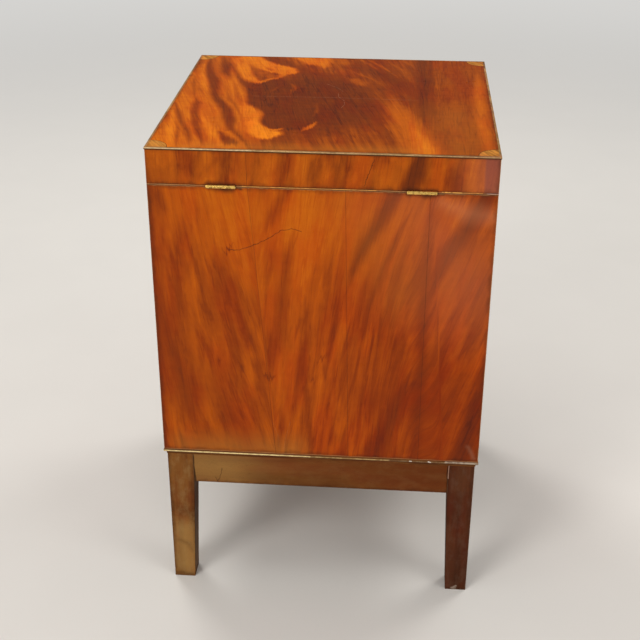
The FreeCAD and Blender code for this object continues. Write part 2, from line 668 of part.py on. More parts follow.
def bolt():
    """The sliding bolt: a slotted bar with a notch for the key's bit, and an arm and tongue for each link."""
    front = BOLT_Y - BOLT / 2
    back = BOLT_Y + BOLT / 2
    eye_middle = RIM - LINK_EYE_TOP - LINK_CLEARANCE - TONGUE_HEIGHT / 2
    tongue_low = eye_middle - TONGUE_HEIGHT / 2
    tongue_high = eye_middle + TONGUE_HEIGHT / 2
    pieces = [box(BOLT_LEFT, BOLT_RIGHT, front, back, BAR_BOTTOM, BAR_TOP)]
    for x in link_places():
        arm = x - ARM_REACH
        tip = x - LINK / 2 - 2 * LINK_CLEARANCE
        pieces.append(box(arm - BOLT_ARM, arm, front, back, BAR_BOTTOM, tongue_high))
        pieces.append(box(arm - BOLT_ARM, tip, front, back, tongue_low, tongue_high))
    cuts = [bit_notch(front - PAST, back + PAST)]
    stud_z = (BAR_TOP + BAR_BOTTOM) / 2
    half = STUD_RADIUS + BOLT_CLEARANCE
    for x in STUD_PLACES:
        cuts.append(box(x - BOLT_TRAVEL, x, front - PAST, back + PAST, stud_z - half, stud_z + half))
        for end in (x - BOLT_TRAVEL, x):
            cuts.append(rod(half, (end, front - PAST, stud_z), (end, back + PAST, stud_z)))
    return joined(pieces).cut(cuts)


def lock_spring():
    """A bent strip soldered to the cap's end wall, whose curled end bears up against the bolt."""
    x = LOCK_SHEET - CAP_HALF
    top = BAR_BOTTOM - RUNNING_GAP
    bend_x = x + SPRING_RADIUS
    bend_z = top - SPRING_RADIUS
    front = BOLT_Y - BOLT / 2
    back = BOLT_Y + BOLT / 2
    leg = box(x, x + SPRING, front, back, bend_z - SPRING_LEG, bend_z)
    disc = rod(SPRING_RADIUS, (bend_x, front, bend_z), (bend_x, back, bend_z))
    hollow = rod(SPRING_RADIUS - SPRING, (bend_x, front - PAST, bend_z), (bend_x, back + PAST, bend_z))
    bend = disc.cut(hollow).common(box(x, bend_x, front, back, bend_z, top))
    lip = box(bend_x, bend_x + SPRING_LIP, front, back, top - SPRING, top)
    return joined([leg, bend, lip])


def bit_notch(y0, y1):
    """The notch that the bit sweeps through, centred on the key at half of the bolt's travel."""
    rise = KEY_BIT - BIT_BITE
    half = math.sqrt(KEY_BIT ** 2 - rise ** 2) + BIT_THICKNESS / 2 + 2 * KEYHOLE_CLEARANCE
    middle = -BOLT_TRAVEL / 2
    top = BAR_BOTTOM + BIT_BITE + KEYHOLE_CLEARANCE
    return box(middle - half, middle + half, y0, y1, BAR_BOTTOM - PAST, top)


def link_screw_places():
    return [(side * LINK_SCREW_SPACING / 2, BOLT_Y, LID_BOTTOM) for side in (-1, 1)]


def link_plate_blank():
    half = LINK_PLATE_WIDTH / 2
    return box(-half, half, LOCK_FACE - LINK_PLATE_DEPTH, LOCK_FACE, LID_BOTTOM, LID_BOTTOM + LEAF)


def link_plate():
    """The plate under the lid with two eyes that the bolt's tongues pass through."""
    eye_top = RIM - LINK_EYE_TOP
    eye_bottom = eye_top - TONGUE_HEIGHT - 2 * LINK_CLEARANCE
    eye_half = BOLT / 2 + LINK_CLEARANCE
    front, back = BOLT_Y - LINK_HALF, BOLT_Y + LINK_HALF
    pieces = [link_plate_blank()]
    eyes = []
    for x in link_places():
        x0, x1 = x - LINK / 2, x + LINK / 2
        pieces.append(box(x0, x1, front, back, RIM - LINK_REACH, LID_BOTTOM + LEAF))
        eyes.append(box(x0 - PAST, x1 + PAST, BOLT_Y - eye_half, BOLT_Y + eye_half, eye_bottom, eye_top))
    holes = [screw_hole(LOCK_SCREW, at, (0, 0, 1)) for at in link_screw_places()]
    return joined(pieces).cut(eyes + holes)


def key():
    """A pipe key: ring bow, collar, hollow shank and a bit with a notch for the ward."""
    bow_y = -HALF_Y - KEY_STEM - BOW_RING
    shank = rod(KEY_SHANK, (0, SHANK_BACK, KEY_Z), (0, bow_y + BOW_RING, KEY_Z))
    collar_y = -HALF_Y - COLLAR_GAP
    collar = rod(KEY_COLLAR, (0, collar_y, KEY_Z), (0, collar_y - COLLAR_LENGTH, KEY_Z))
    bow = Part.makeTorus(BOW_RING, BOW_WIRE, Vector(0, bow_y, KEY_Z), Vector(1, 0, 0))
    half = BIT_THICKNESS / 2
    bit = box(-half, half, BIT_BACK - BIT_WIDTH, BIT_BACK, KEY_Z - KEY_BIT, KEY_Z)
    ward_half = WARD / 2 + KEYHOLE_CLEARANCE
    ward_back = LOCK_FACE - LOCK_DEPTH + LOCK_SHEET + WARD_HEIGHT + KEYHOLE_CLEARANCE
    notch = box(-half - PAST, half + PAST, BIT_BACK - BIT_WIDTH - PAST, ward_back,
                KEY_Z - WARD_RADIUS - ward_half, KEY_Z - WARD_RADIUS + ward_half)
    pipe_end = LOCK_FACE - LOCK_DEPTH
    pipe = rod(KEY_POST + KEY_RUNNING, (0, SHANK_BACK + PAST, KEY_Z), (0, pipe_end, KEY_Z))
    return joined([shank, collar, bow, bit.cut(notch)]).cut(pipe)


def escutcheon():
    """The brass thread that lines the keyhole, flush with the veneer."""
    back = LOCK_FACE - LOCK_DEPTH
    outer = keyhole(KEYHOLE_CLEARANCE + ESCUTCHEON, -HALF_Y, back)
    return outer.cut(keyhole(KEYHOLE_CLEARANCE, -HALF_Y - PAST, back + PAST))


def build_lock():
    """Saves the lock, link plate and key, and returns the cuts for the front wall and for the lid's front."""
    save("lock_plate", lock_plate())
    save("lock_cap", lock_cap())
    save("lock_bolt", bolt())
    save("lock_spring", lock_spring())
    save("lock_screws", *[screw(LOCK_SCREW, at, (0, -1, 0)) for at in lock_screw_places()])
    save("link_plate", link_plate())
    save("link_plate_screws", *[screw(LOCK_SCREW, at, (0, 0, 1)) for at in link_screw_places()])
    save("key", key())
    save("keyhole_escutcheon", escutcheon())
    hole = keyhole(KEYHOLE_CLEARANCE + ESCUTCHEON + SCREW_CLEARANCE, -HALF_Y - PAST, LOCK_FACE)
    lid_cuts = [link_plate_blank()] + [screw_hole(LOCK_SCREW, at, (0, 0, 1)) for at in link_screw_places()]
    return lock_pocket() + [hole], lid_cuts


# ---------------------------------------------------------------- case
def build_case(back_cuts, front_cuts, floor_cuts):
    bottom_x = INSIDE_X + BOTTOM_REBATE
    bottom_y = INSIDE_Y + BOTTOM_REBATE
    bottom = box(-bottom_x, bottom_x, -bottom_y, bottom_y, STAND_HEIGHT, STAND_HEIGHT + BOTTOM_BOARD)
    walls = four_walls(STAND_HEIGHT, RIM, CASE_TAILS)
    cuts = {"front": front_cuts, "back": back_cuts, "left": [], "right": []}
    sheets = wall_veneers(STAND_HEIGHT, RIM)
    for name, wall in walls.items():
        save(f"case_wall_{name}", wall.cut([bottom] + cuts[name]))
        sheet = sheets[name].cut(cuts[name]) if cuts[name] else sheets[name]
        leaves = split_sheet(sheet, VENEER_SEAMS) if name == "back" else [sheet]
        save(f"case_veneer_{name}", *leaves)
    save("case_bottom", bottom.cut(floor_cuts))


# ---------------------------------------------------------------- lid
def edge_string_groove():
    """The square groove round the top of the lid that the edging lies in."""
    outer_x, outer_y = HALF_X + STRING_PROUD, HALF_Y + STRING_PROUD
    inner_x, inner_y = outer_x - STRING_WIDTH, outer_y - STRING_WIDTH
    ring = box(-outer_x, outer_x, -outer_y, outer_y, STRING_BOTTOM, LID_TOP)
    return ring.cut(box(-inner_x, inner_x, -inner_y, inner_y, STRING_BOTTOM, LID_TOP))


def edge_string(along, side):
    """One strip of the edging, mitred at both ends, with a rounded nose."""
    reach_x, reach_y = HALF_X + STRING_PROUD, HALF_Y + STRING_PROUD
    length, outer = (reach_x, reach_y) if along == "x" else (reach_y, reach_x)
    inner = outer - STRING_WIDTH
    flat = [(-length, outer), (length, outer), (length - STRING_WIDTH, inner), (STRING_WIDTH - length, inner)]
    if along == "x":
        outline = [(u, side * v, STRING_BOTTOM) for u, v in flat]
    else:
        outline = [(side * v, u, STRING_BOTTOM) for u, v in flat]
    strip = prism(outline, (0, 0, STRING_HEIGHT))
    return rounded(strip, STRING_ROUND, lambda a, b: (a - b).Length > 2 * length - STRING_WIDTH)


def inlay_corners():
    """The corners that the quarter-round inlays are struck from."""
    x = HALF_X + STRING_PROUD - STRING_WIDTH
    y = HALF_Y + STRING_PROUD - STRING_WIDTH
    return [(side_x * x, side_y * y) for side_x in (-1, 1) for side_y in (-1, 1)]


def quarter(corner, radius):
    """A quarter disc of veneer in a corner of the lid's top."""
    x, y = corner
    disc = rod(radius, (x, y, LID_BOARD_TOP), (x, y, LID_TOP))
    return disc.common(box(0, x, 0, y, LID_BOARD_TOP, LID_TOP))


def build_lid(back_cuts, front_cuts):
    walls = four_walls(LID_BOTTOM, LID_BOARD_BOTTOM, LID_TAILS)
    sheets = wall_veneers(LID_BOTTOM, STRING_BOTTOM)
    groove = edge_string_groove()
    cuts = {"front": front_cuts, "back": back_cuts, "left": [], "right": []}
    for name, wall in walls.items():
        save(f"lid_rim_{name}", wall.cut(cuts[name]) if cuts[name] else wall)
        save(f"lid_veneer_{name}", sheets[name].cut(cuts[name]) if cuts[name] else sheets[name])
    board = box(-CARCASS_X, CARCASS_X, -CARCASS_Y, CARCASS_Y, LID_BOARD_BOTTOM, LID_BOARD_TOP)
    save("lid_board", board.cut(groove))
    x, y = [abs(value) for value in inlay_corners()[0]]
    sheet = box(-x, x, -y, y, LID_BOARD_TOP, LID_TOP)
    outlined = [quarter(corner, CORNER_INLAY + INLAY_LINE) for corner in inlay_corners()]
    inlays = [quarter(corner, CORNER_INLAY) for corner in inlay_corners()]
    save("lid_veneer_top", sheet.cut(outlined))
    save("lid_corner_inlays", *inlays)
    save("lid_corner_lines", *[whole.cut(inlay) for whole, inlay in zip(outlined, inlays)])
    save("lid_edge_string", *[edge_string(along, side) for along in ("x", "y") for side in (-1, 1)])


def main():
    os.makedirs("parts", exist_ok=True)
    floor_cuts = build_stand()
    build_dividers()
    case_back_cuts, lid_back_cuts = build_hinges()
    case_front_cuts, lid_front_cuts = build_lock()
    build_case(case_back_cuts, case_front_cuts, floor_cuts)
    build_lid(lid_back_cuts, lid_front_cuts)


main()
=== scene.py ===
"""Cellarette: finishes, worn surfaces and studio for a mahogany bottle case on its stand."""

import math

import bpy
from bpy.props import FloatProperty, FloatVectorProperty, PointerProperty
from mathutils import Matrix, Vector


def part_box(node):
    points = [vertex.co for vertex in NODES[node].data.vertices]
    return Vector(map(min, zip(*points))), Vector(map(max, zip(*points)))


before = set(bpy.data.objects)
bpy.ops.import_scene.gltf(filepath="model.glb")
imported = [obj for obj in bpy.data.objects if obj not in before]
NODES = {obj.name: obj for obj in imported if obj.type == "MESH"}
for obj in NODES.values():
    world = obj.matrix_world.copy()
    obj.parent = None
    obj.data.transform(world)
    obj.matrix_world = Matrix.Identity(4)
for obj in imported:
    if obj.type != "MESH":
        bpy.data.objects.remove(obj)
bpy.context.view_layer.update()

bl_info = {
    "name": "Cellarette",
    "version": (1, 0, 0),
    "blender": (4, 5, 0),
    "location": "3D View > Sidebar > Cellarette",
    "description": "Finishes a mahogany cellarette and sets up its studio",
    "category": "Object",
}

MM = 0.001


def box_of(*names):
    """Low and high corners of the box round several nodes."""
    boxes = [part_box(name) for name in names]
    low = Vector([min(box[0][i] for box in boxes) for i in range(3)])
    high = Vector([max(box[1][i] for box in boxes) for i in range(3)])
    return low, high


def all_round(name):
    """The four nodes of one name that go round the piece."""
    return [f"{name}_{side}" for side in ("front", "back", "left", "right")]


CASE_BOX = box_of(*all_round("case_veneer"))
LID_BOX = box_of("lid_veneer_top", *all_round("lid_veneer"))
CASE_HEIGHT = CASE_BOX[1].z - CASE_BOX[0].z


# ---------------------------------------------------------------- user values

def colour_property(name, description, default):
    """A colour that can be changed in the sidebar."""
    return FloatVectorProperty(
        name=name, description=description, default=default, size=3, min=0.0, max=1.0, subtype="COLOR")


def length_property(name, description, default):
    """A length in metres that can be changed in the sidebar."""
    return FloatProperty(
        name=name, description=description, default=default, min=0.0, unit="LENGTH", precision=5)


class CellaretteColours(bpy.types.PropertyGroup):
    """Colours of the woods and metals."""

    figure_dark: colour_property("Figure dark", "Darkest figure of the veneer", (0.075, 0.016, 0.006))
    figure_red: colour_property("Figure red", "Red-brown of the veneer", (0.205, 0.037, 0.004))
    figure_orange: colour_property("Figure orange", "Orange-brown of the veneer", (0.42, 0.088, 0.0045))
    figure_gold: colour_property("Figure gold", "Lightest figure of the veneer", (0.69, 0.195, 0.008))
    stand_dark: colour_property("Stand dark", "Dark mahogany of the stand", (0.040, 0.011, 0.003))
    stand_light: colour_property("Stand light", "Faded mahogany of the stand", (0.210, 0.080, 0.018))
    pale_string: colour_property("Pale string", "Box string and worn bead", (0.40, 0.23, 0.09))
    satinwood: colour_property("Satinwood", "Quarter fans at the corners of the lid", (0.47, 0.185, 0.030))
    carcass: colour_property("Carcass", "Plain wood inside", (0.26, 0.115, 0.045))
    divider: colour_property("Divider", "Plain wood of the dividers", (0.31, 0.145, 0.06))
    brass: colour_property("Brass", "Hinges and lock furniture", (0.88, 0.57, 0.15))
    steel: colour_property("Steel", "Screws and key", (0.36, 0.34, 0.31))
    dirt: colour_property("Dirt", "Dark wax and dirt in corners and pores", (0.030, 0.012, 0.006))


class CellaretteSurface(bpy.types.PropertyGroup):
    """Sizes of the grain and of the wear."""

    pore_width: length_property("Pore width", "Width of one open pore", 0.00028)
    pore_length: length_property("Pore length", "Length of one open pore", 0.0045)
    fibre_width: length_property("Fibre width", "Width of one streak of grain", 0.0042)
    fibre_length: length_property("Fibre length", "Length of one streak of grain", 0.090)
    edge_width: length_property("Edge wear", "Width of the worn arris", 0.0011)
    grime_width: length_property("Edge grime", "Width of the dark wax beside an edge", 0.007)
    seam_width: length_property("Seam", "Half width of an open veneer joint", 0.00035)


class CellaretteStudio(bpy.types.PropertyGroup):
    """Camera, lamps and floor."""

    lens: FloatProperty(name="Lens", description="Focal length in millimetres", default=66.25, min=1.0)
    camera_place: FloatVectorProperty(
        name="Camera place", description="Where the camera stands", default=(-0.1031, 1.6659, 1.1996),
        size=3, subtype="TRANSLATION", unit="LENGTH")
    camera_aim: FloatVectorProperty(
        name="Camera aim", description="Direction of view", default=(0.0643, -0.8857, -0.4599),
        size=3, subtype="DIRECTION")
    camera_roll: FloatProperty(
        name="Camera roll", description="Turn about the line of view", default=math.radians(0.252),
        subtype="ANGLE", unit="ROTATION")
    floor_radius: length_property("Floor radius", "Radius of the round floor", 9.0)
    floor_colour: colour_property("Floor", "Pale floor", (0.66, 0.645, 0.62))
    backdrop_colour: colour_property("Backdrop", "Pale background", (0.66, 0.65, 0.63))
    room_light: FloatProperty(
        name="Room light", description="Strength of the even light", default=0.40, min=0.0)
    lamp_power: FloatProperty(
        name="Lamp power", description="Power of the main lamp", default=46.0, min=0.0, unit="POWER")


# ---------------------------------------------------------------- node making

class Maker:
    """Adds shader nodes to one tree and joins them by value."""

    def __init__(self, tree):
        self.tree = tree

    def feed(self, socket, value):
        """Joins a socket to another one, or writes a plain value on it."""
        if isinstance(value, bpy.types.NodeSocket):
            self.tree.links.new(value, socket)
            return
        if hasattr(socket.default_value, "__len__"):
            size = len(socket.default_value)
            values = [value] * size if isinstance(value, (int, float)) else list(value)
            if size == 4 and len(values) == 3:
                values.append(1.0)
            socket.default_value = values
        else:
            socket.default_value = value

    def node(self, kind, inputs=None, **settings):
        """One node with its settings, and its inputs by name or number."""
        made = self.tree.nodes.new(kind)
        for key, value in settings.items():
            setattr(made, key, value)
        for key, value in (inputs or {}).items():
            self.feed(made.inputs[key], value)
        return made

    def math(self, operation, first, second=0.0, third=0.0, clamp=False):
        """A sum on numbers."""
        numbers = {0: first, 1: second, 2: third}
        return self.node("ShaderNodeMath", numbers, operation=operation, use_clamp=clamp).outputs[0]

    def vary(self, number, source, weight, clamp=False):
        """A number raised or lowered by a cloudy value, which counts from 0.5."""
        return self.math("MULTIPLY_ADD", self.math("SUBTRACT", source, 0.5), weight, number, clamp=clamp)

    def vector(self, operation, first, second=(0.0, 0.0, 0.0), third=(0.0, 0.0, 0.0), scale=None):
        """A sum on vectors."""
        inputs = {0: first, 1: second, 2: third}
        if scale is not None:
            inputs["Scale"] = scale
        made = self.node("ShaderNodeVectorMath", inputs, operation=operation)
        return made.outputs["Value" if operation in ("DOT_PRODUCT", "LENGTH", "DISTANCE") else "Vector"]

    def between(self, factor, first, second):
        """A number between two others."""
        made = self.node("ShaderNodeMix", {"Factor": factor, 2: first, 3: second}, data_type="FLOAT")
        return made.outputs[0]

    def tint(self, factor, first, second, blend="MIX"):
        """A colour between two others."""
        colours = {"Factor": factor, 6: first, 7: second}
        return self.node("ShaderNodeMix", colours, data_type="RGBA", blend_type=blend).outputs[2]

    def lay(self, colour, over, mask, strength):
        """A colour with another one laid over it where a mask says."""
        return self.tint(self.math("MULTIPLY", mask, strength), colour, over)

    def span(self, value, low, high, out_low=0.0, out_high=1.0, smooth=True):
        """Maps low to high onto another span, held at both ends."""
        made = self.node(
            "ShaderNodeMapRange",
            {"Value": value, "From Min": low, "From Max": high, "To Min": out_low, "To Max": out_high},
            interpolation_type="SMOOTHSTEP" if smooth else "LINEAR")
        return made.outputs[0]

    def join(self, x, y, z=0.0):
        """A vector from three numbers."""
        return self.node("ShaderNodeCombineXYZ", {"X": x, "Y": y, "Z": z}).outputs[0]

    def split(self, vector):
        """The three numbers of a vector."""
        return self.node("ShaderNodeSeparateXYZ", {0: vector}).outputs

    def noise(self, vector, detail=2.0, roughness=0.5, scale=1.0, distortion=0.0):
        """Cloudy noise about 0.5."""
        made = self.node("ShaderNodeTexNoise", {
            "Vector": vector, "Scale": scale, "Detail": detail,
            "Roughness": roughness, "Distortion": distortion})
        return made.outputs["Fac"]

    def noise_vector(self, vector, detail=2.0, scale=1.0):
        """Cloudy noise in three directions, about zero."""
        made = self.node("ShaderNodeTexNoise", {"Vector": vector, "Scale": scale, "Detail": detail})
        return self.vector("SUBTRACT", made.outputs["Color"], (0.5, 0.5, 0.5))

    def group(self, name, **inputs):
        """Places a shared group with its own values and returns its outputs."""
        made = self.node("ShaderNodeGroup", node_tree=bpy.data.node_groups[name])
        for key, value in inputs.items():
            self.feed(made.inputs[key.replace("_", " ")], value)
        return made.outputs


def shared_group(name, inputs, outputs):
    """Starts a shared group and returns its maker, its inputs and the node its results go to."""
    kinds = {"value": "NodeSocketFloat", "vector": "NodeSocketVector", "colour": "NodeSocketColor"}
    tree = bpy.data.node_groups.new(name, "ShaderNodeTree")
    for label, kind, default in inputs:
        socket = tree.interface.new_socket(name=label, in_out="INPUT", socket_type=kinds[kind])
        socket.default_value = default
    for label, kind in outputs:
        tree.interface.new_socket(name=label, in_out="OUTPUT", socket_type=kinds[kind])
    maker = Maker(tree)
    entry = tree.nodes.new("NodeGroupInput").outputs
    result = tree.nodes.new("NodeGroupOutput").inputs
    return maker, entry, result


# -------------------------------------------------------------- shared groups

def make_stroke_group():
    """Figure Stroke: a soft stroke of grain from one point to another, as a grainer's brush leaves it."""
    maker, entry, result = shared_group(
        "Figure Stroke",
        [("Position", "vector", (0, 0, 0)), ("Start", "vector", (0, 0, 0)), ("End", "vector", (0.1, 0, 0)),
         ("Start Width", "value", 0.01), ("End Width", "value", 0.01), ("Softness", "value", 0.003)],
        [("Mask", "value")])
    to_point = maker.vector("SUBTRACT", entry["Position"], entry["Start"])
    run = maker.vector("SUBTRACT", entry["End"], entry["Start"])
    reach = maker.vector("DOT_PRODUCT", to_point, run)
    length_squared = maker.math("ADD", maker.vector("DOT_PRODUCT", run, run), 1e-9)
    share = maker.math("MINIMUM", maker.math("DIVIDE", reach, length_squared), 1.0)
    share = maker.math("MAXIMUM", share, 0.0)
    foot = maker.vector("SCALE", run, scale=share)
    distance = maker.vector("DISTANCE", to_point, foot)
    width = maker.between(share, entry["Start Width"], entry["End Width"])
    outer = maker.math("ADD", width, entry["Softness"])
    inner = maker.math("SUBTRACT", width, entry["Softness"])
    maker.feed(result["Mask"], maker.span(distance, outer, inner))


# Spacing of the thin dark veins across and along the grain, and the share of it that a vein takes up.
VEIN_SIZE = (0.015, 0.19, 0.015)
VEIN_SHARE = 0.040


def make_grain_group():
    """Wood Grain: fine streaks, thin dark veins and short open pores along Position's second direction."""
    maker, entry, result = shared_group(
        "Wood Grain",
        [("Position", "vector", (0, 0, 0)), ("Pore Position", "vector", (0, 0, 0)),
         ("Fibre Width", "value", 0.0042), ("Fibre Length", "value", 0.090),
         ("Pore Width", "value", 0.0003), ("Pore Length", "value", 0.004), ("Pore Amount", "value", 0.5)],
        [("Streak", "value"), ("Vein", "value"), ("Pore", "value"), ("Height", "value")])
    fibre = maker.join(entry["Fibre Width"], entry["Fibre Length"], entry["Fibre Width"])
    streak = maker.noise(maker.vector("DIVIDE", entry["Position"], fibre), detail=5.0, roughness=0.68)
    thin = maker.vector("MULTIPLY", maker.vector("DIVIDE", entry["Position"], fibre), (6.5, 2.6, 6.5))
    streak = maker.vary(streak, maker.noise(thin, detail=3.0, roughness=0.6), 1.1)
    pore_size = maker.join(entry["Pore Width"], entry["Pore Length"], entry["Pore Width"])
    pore = maker.noise(maker.vector("DIVIDE", entry["Pore Position"], pore_size), detail=1.0)
    limit = maker.span(entry["Pore Amount"], 0.0, 1.0, 0.78, 0.52, smooth=False)
    mask = maker.span(pore, limit, maker.math("ADD", limit, 0.07))
    wave = maker.vector("DIVIDE", entry["Position"], VEIN_SIZE)
    crest = maker.math("SUBTRACT", maker.noise(wave, detail=3.0, roughness=0.52), 0.5)
    maker.feed(result["Vein"], maker.span(maker.math("ABSOLUTE", crest), VEIN_SHARE, 0.0))
    maker.feed(result["Streak"], streak)
    maker.feed(result["Pore"], mask)
    maker.feed(result["Height"], maker.math("SUBTRACT", maker.math("MULTIPLY", streak, 0.35), mask))


def make_flame_group():
    """Flame Figure: broad bands of a veneer that sway along the grain, with ripples and flecks."""
    maker, entry, result = shared_group(
        "Flame Figure",
        [("Position", "vector", (0, 0, 0)), ("Band Width", "value", 0.028), ("Band Length", "value", 0.30),
         ("Sway", "value", 0.02), ("Offset", "vector", (0, 0, 0))],
        [("Tone", "value"), ("Ripple", "value"), ("Fleck", "value")])
    place = maker.vector("ADD", entry["Position"], entry["Offset"])
    sway = maker.noise_vector(place, detail=2.0, scale=5.0)
    swayed = maker.vector("ADD", place, maker.vector("SCALE", sway, scale=entry["Sway"]))
    band = maker.join(entry["Band Width"], entry["Band Length"], entry["Band Length"])
    broad = maker.noise(maker.vector("DIVIDE", swayed, band), detail=4.0, roughness=0.55, distortion=0.35)
    ripple = maker.noise(maker.vector("MULTIPLY", swayed, (38.0, 110.0, 38.0)), detail=1.0)
    fleck = maker.noise(maker.vector("MULTIPLY", swayed, (150.0, 42.0, 150.0)), detail=4.0, roughness=0.6)
    maker.feed(result["Tone"], maker.span(broad, 0.30, 0.70))
    maker.feed(result["Ripple"], ripple)
    maker.feed(result["Fleck"], fleck)


def make_edge_group():
    """Edge Wear: how near a point of a box is to its edges, ragged as handling leaves them."""
    maker, entry, result = shared_group(
        "Edge Wear",
        [("Position", "vector", (0, 0, 0)), ("Low", "vector", (0, 0, 0)), ("High", "vector", (1, 1, 1)),
         ("Width", "value", 0.001), ("Grime Width", "value", 0.006), ("Raggedness", "value", 0.6)],
        [("Arris", "value"), ("Grime", "value")])
    from_low, from_high = [
        maker.split(maker.vector("ABSOLUTE", maker.vector("SUBTRACT", entry["Position"], entry[corner])))
        for corner in ("Low", "High")]
    near = [maker.math("MINIMUM", from_low[i], from_high[i]) for i in range(3)]
    smaller = maker.math("MINIMUM", near[0], near[1])
    larger = maker.math("MAXIMUM", near[0], near[1])
    edge = maker.math("MAXIMUM", smaller, maker.math("MINIMUM", larger, near[2]))
    rag = maker.noise(entry["Position"], detail=3.0, roughness=0.65, scale=55.0)
    worn = maker.vary(1.0, rag, maker.math("MULTIPLY", entry["Raggedness"], 4.0))
    width = maker.math("MAXIMUM", maker.math("MULTIPLY", entry["Width"], worn), 0.05 * MM)
    maker.feed(result["Arris"], maker.span(edge, width, maker.math("MULTIPLY", width, 0.35)))
    grime = maker.span(edge, maker.math("MULTIPLY", entry["Grime Width"], worn), 0.0)
    grime = maker.math("MULTIPLY", grime, rag)
    maker.feed(result["Grime"], maker.math("MULTIPLY", grime, 1.6, clamp=True))


def make_polish_group():
    """Old Polish: how an old hand-rubbed surface varies, with rubbed patches, smears and long hollows."""
    maker, entry, result = shared_group(
        "Old Polish",
        [("Position", "vector", (0, 0, 0)), ("Roughness", "value", 0.32), ("Spread", "value", 0.10)],
        [("Roughness", "value"), ("Mottle", "value"), ("Hollow", "value")])
    mottle = maker.noise(entry["Position"], detail=3.0, roughness=0.6, scale=22.0)
    smear = maker.noise(maker.vector("MULTIPLY", entry["Position"], (95.0, 24.0, 95.0)), detail=3.0)
    mixed = maker.math("ADD", mottle, maker.math("MULTIPLY", smear, 0.6))
    mixed = maker.math("SUBTRACT", mixed, 0.8)
    rough = maker.math("MULTIPLY_ADD", mixed, entry["Spread"], entry["Roughness"], clamp=True)
    maker.feed(result["Roughness"], rough)
    maker.feed(result["Mottle"], mottle)
    maker.feed(result["Hollow"], maker.noise(entry["Position"], detail=1.0, scale=9.0))


def make_tone_group():
    """Wood Tone: turns a tone from 0 to 1 into the four colours of a wood."""
    maker, entry, result = shared_group(
        "Wood Tone",
        [("Tone", "value", 0.5),
         ("Dark", "colour", (0.1, 0.03, 0.01, 1)), ("Low", "colour", (0.2, 0.06, 0.01, 1)),
         ("High", "colour", (0.5, 0.15, 0.02, 1)), ("Light", "colour", (0.8, 0.3, 0.04, 1))],
        [("Colour", "colour")])
    colour = entry["Dark"]
    for start, end, name in ((0.0, 0.33, "Low"), (0.33, 0.68, "High"), (0.68, 1.0, "Light")):
        colour = maker.tint(maker.span(entry["Tone"], start, end, smooth=False), colour, entry[name])
    maker.feed(result["Colour"], colour)


def make_metal_group():
    """Aged Metal: tarnish in patches, fine rubbed scratches and small dents."""
    maker, entry, result = shared_group(
        "Aged Metal",
        [("Position", "vector", (0, 0, 0)), ("Patch Size", "value", 0.004),
         ("Scratch Size", "value", 0.0003)],
        [("Tarnish", "value"), ("Rubbed", "value"), ("Height", "value")])
    size = maker.join(*[entry["Patch Size"]] * 3)
    patch = maker.noise(maker.vector("DIVIDE", entry["Position"], size), detail=4.0, roughness=0.62)
    long_way = maker.math("MULTIPLY", entry["Scratch Size"], 14.0)
    fine = maker.join(long_way, entry["Scratch Size"], entry["Scratch Size"])
    rubbed = maker.noise(maker.vector("DIVIDE", entry["Position"], fine), detail=2.0)
    maker.feed(result["Tarnish"], maker.span(patch, 0.42, 0.68))
    maker.feed(result["Rubbed"], rubbed)
    height = maker.math("MULTIPLY_ADD", patch, 0.6, maker.math("MULTIPLY", rubbed, 0.25))
    maker.feed(result["Height"], height)


def make_shared_groups():
    """Makes every shared group once."""
    if "Figure Stroke" in bpy.data.node_groups:
        return
    for make in (make_stroke_group, make_grain_group, make_flame_group, make_edge_group,
                 make_polish_group, make_tone_group, make_metal_group):
        make()


# ------------------------------------------------------------ faces and wood

class Face:
    """One flat face: its first corner, the direction across the grain and the direction along it."""

    def __init__(self, corner, across, along):
        self.corner = Vector(corner)
        self.across = Vector(across)
        self.along = Vector(along)
        self.out = self.across.cross(self.along)


TOP_FACE = Face((LID_BOX[1].x, LID_BOX[0].y, LID_BOX[1].z), (-1, 0, 0), (0, 1, 0))
BACK_FACE = Face((CASE_BOX[1].x, CASE_BOX[1].y, CASE_BOX[1].z), (-1, 0, 0), (0, 0, -1))
FRONT_FACE = Face((CASE_BOX[0].x, CASE_BOX[0].y, CASE_BOX[1].z), (1, 0, 0), (0, 0, -1))
LEFT_FACE = Face((CASE_BOX[0].x, CASE_BOX[1].y, CASE_BOX[1].z), (0, -1, 0), (0, 0, -1))
RIGHT_FACE = Face((CASE_BOX[1].x, CASE_BOX[0].y, CASE_BOX[1].z), (0, 1, 0), (0, 0, -1))
LID_BACK_FACE = Face((LID_BOX[1].x, LID_BOX[1].y, LID_BOX[1].z), (-1, 0, 0), (0, 0, -1))

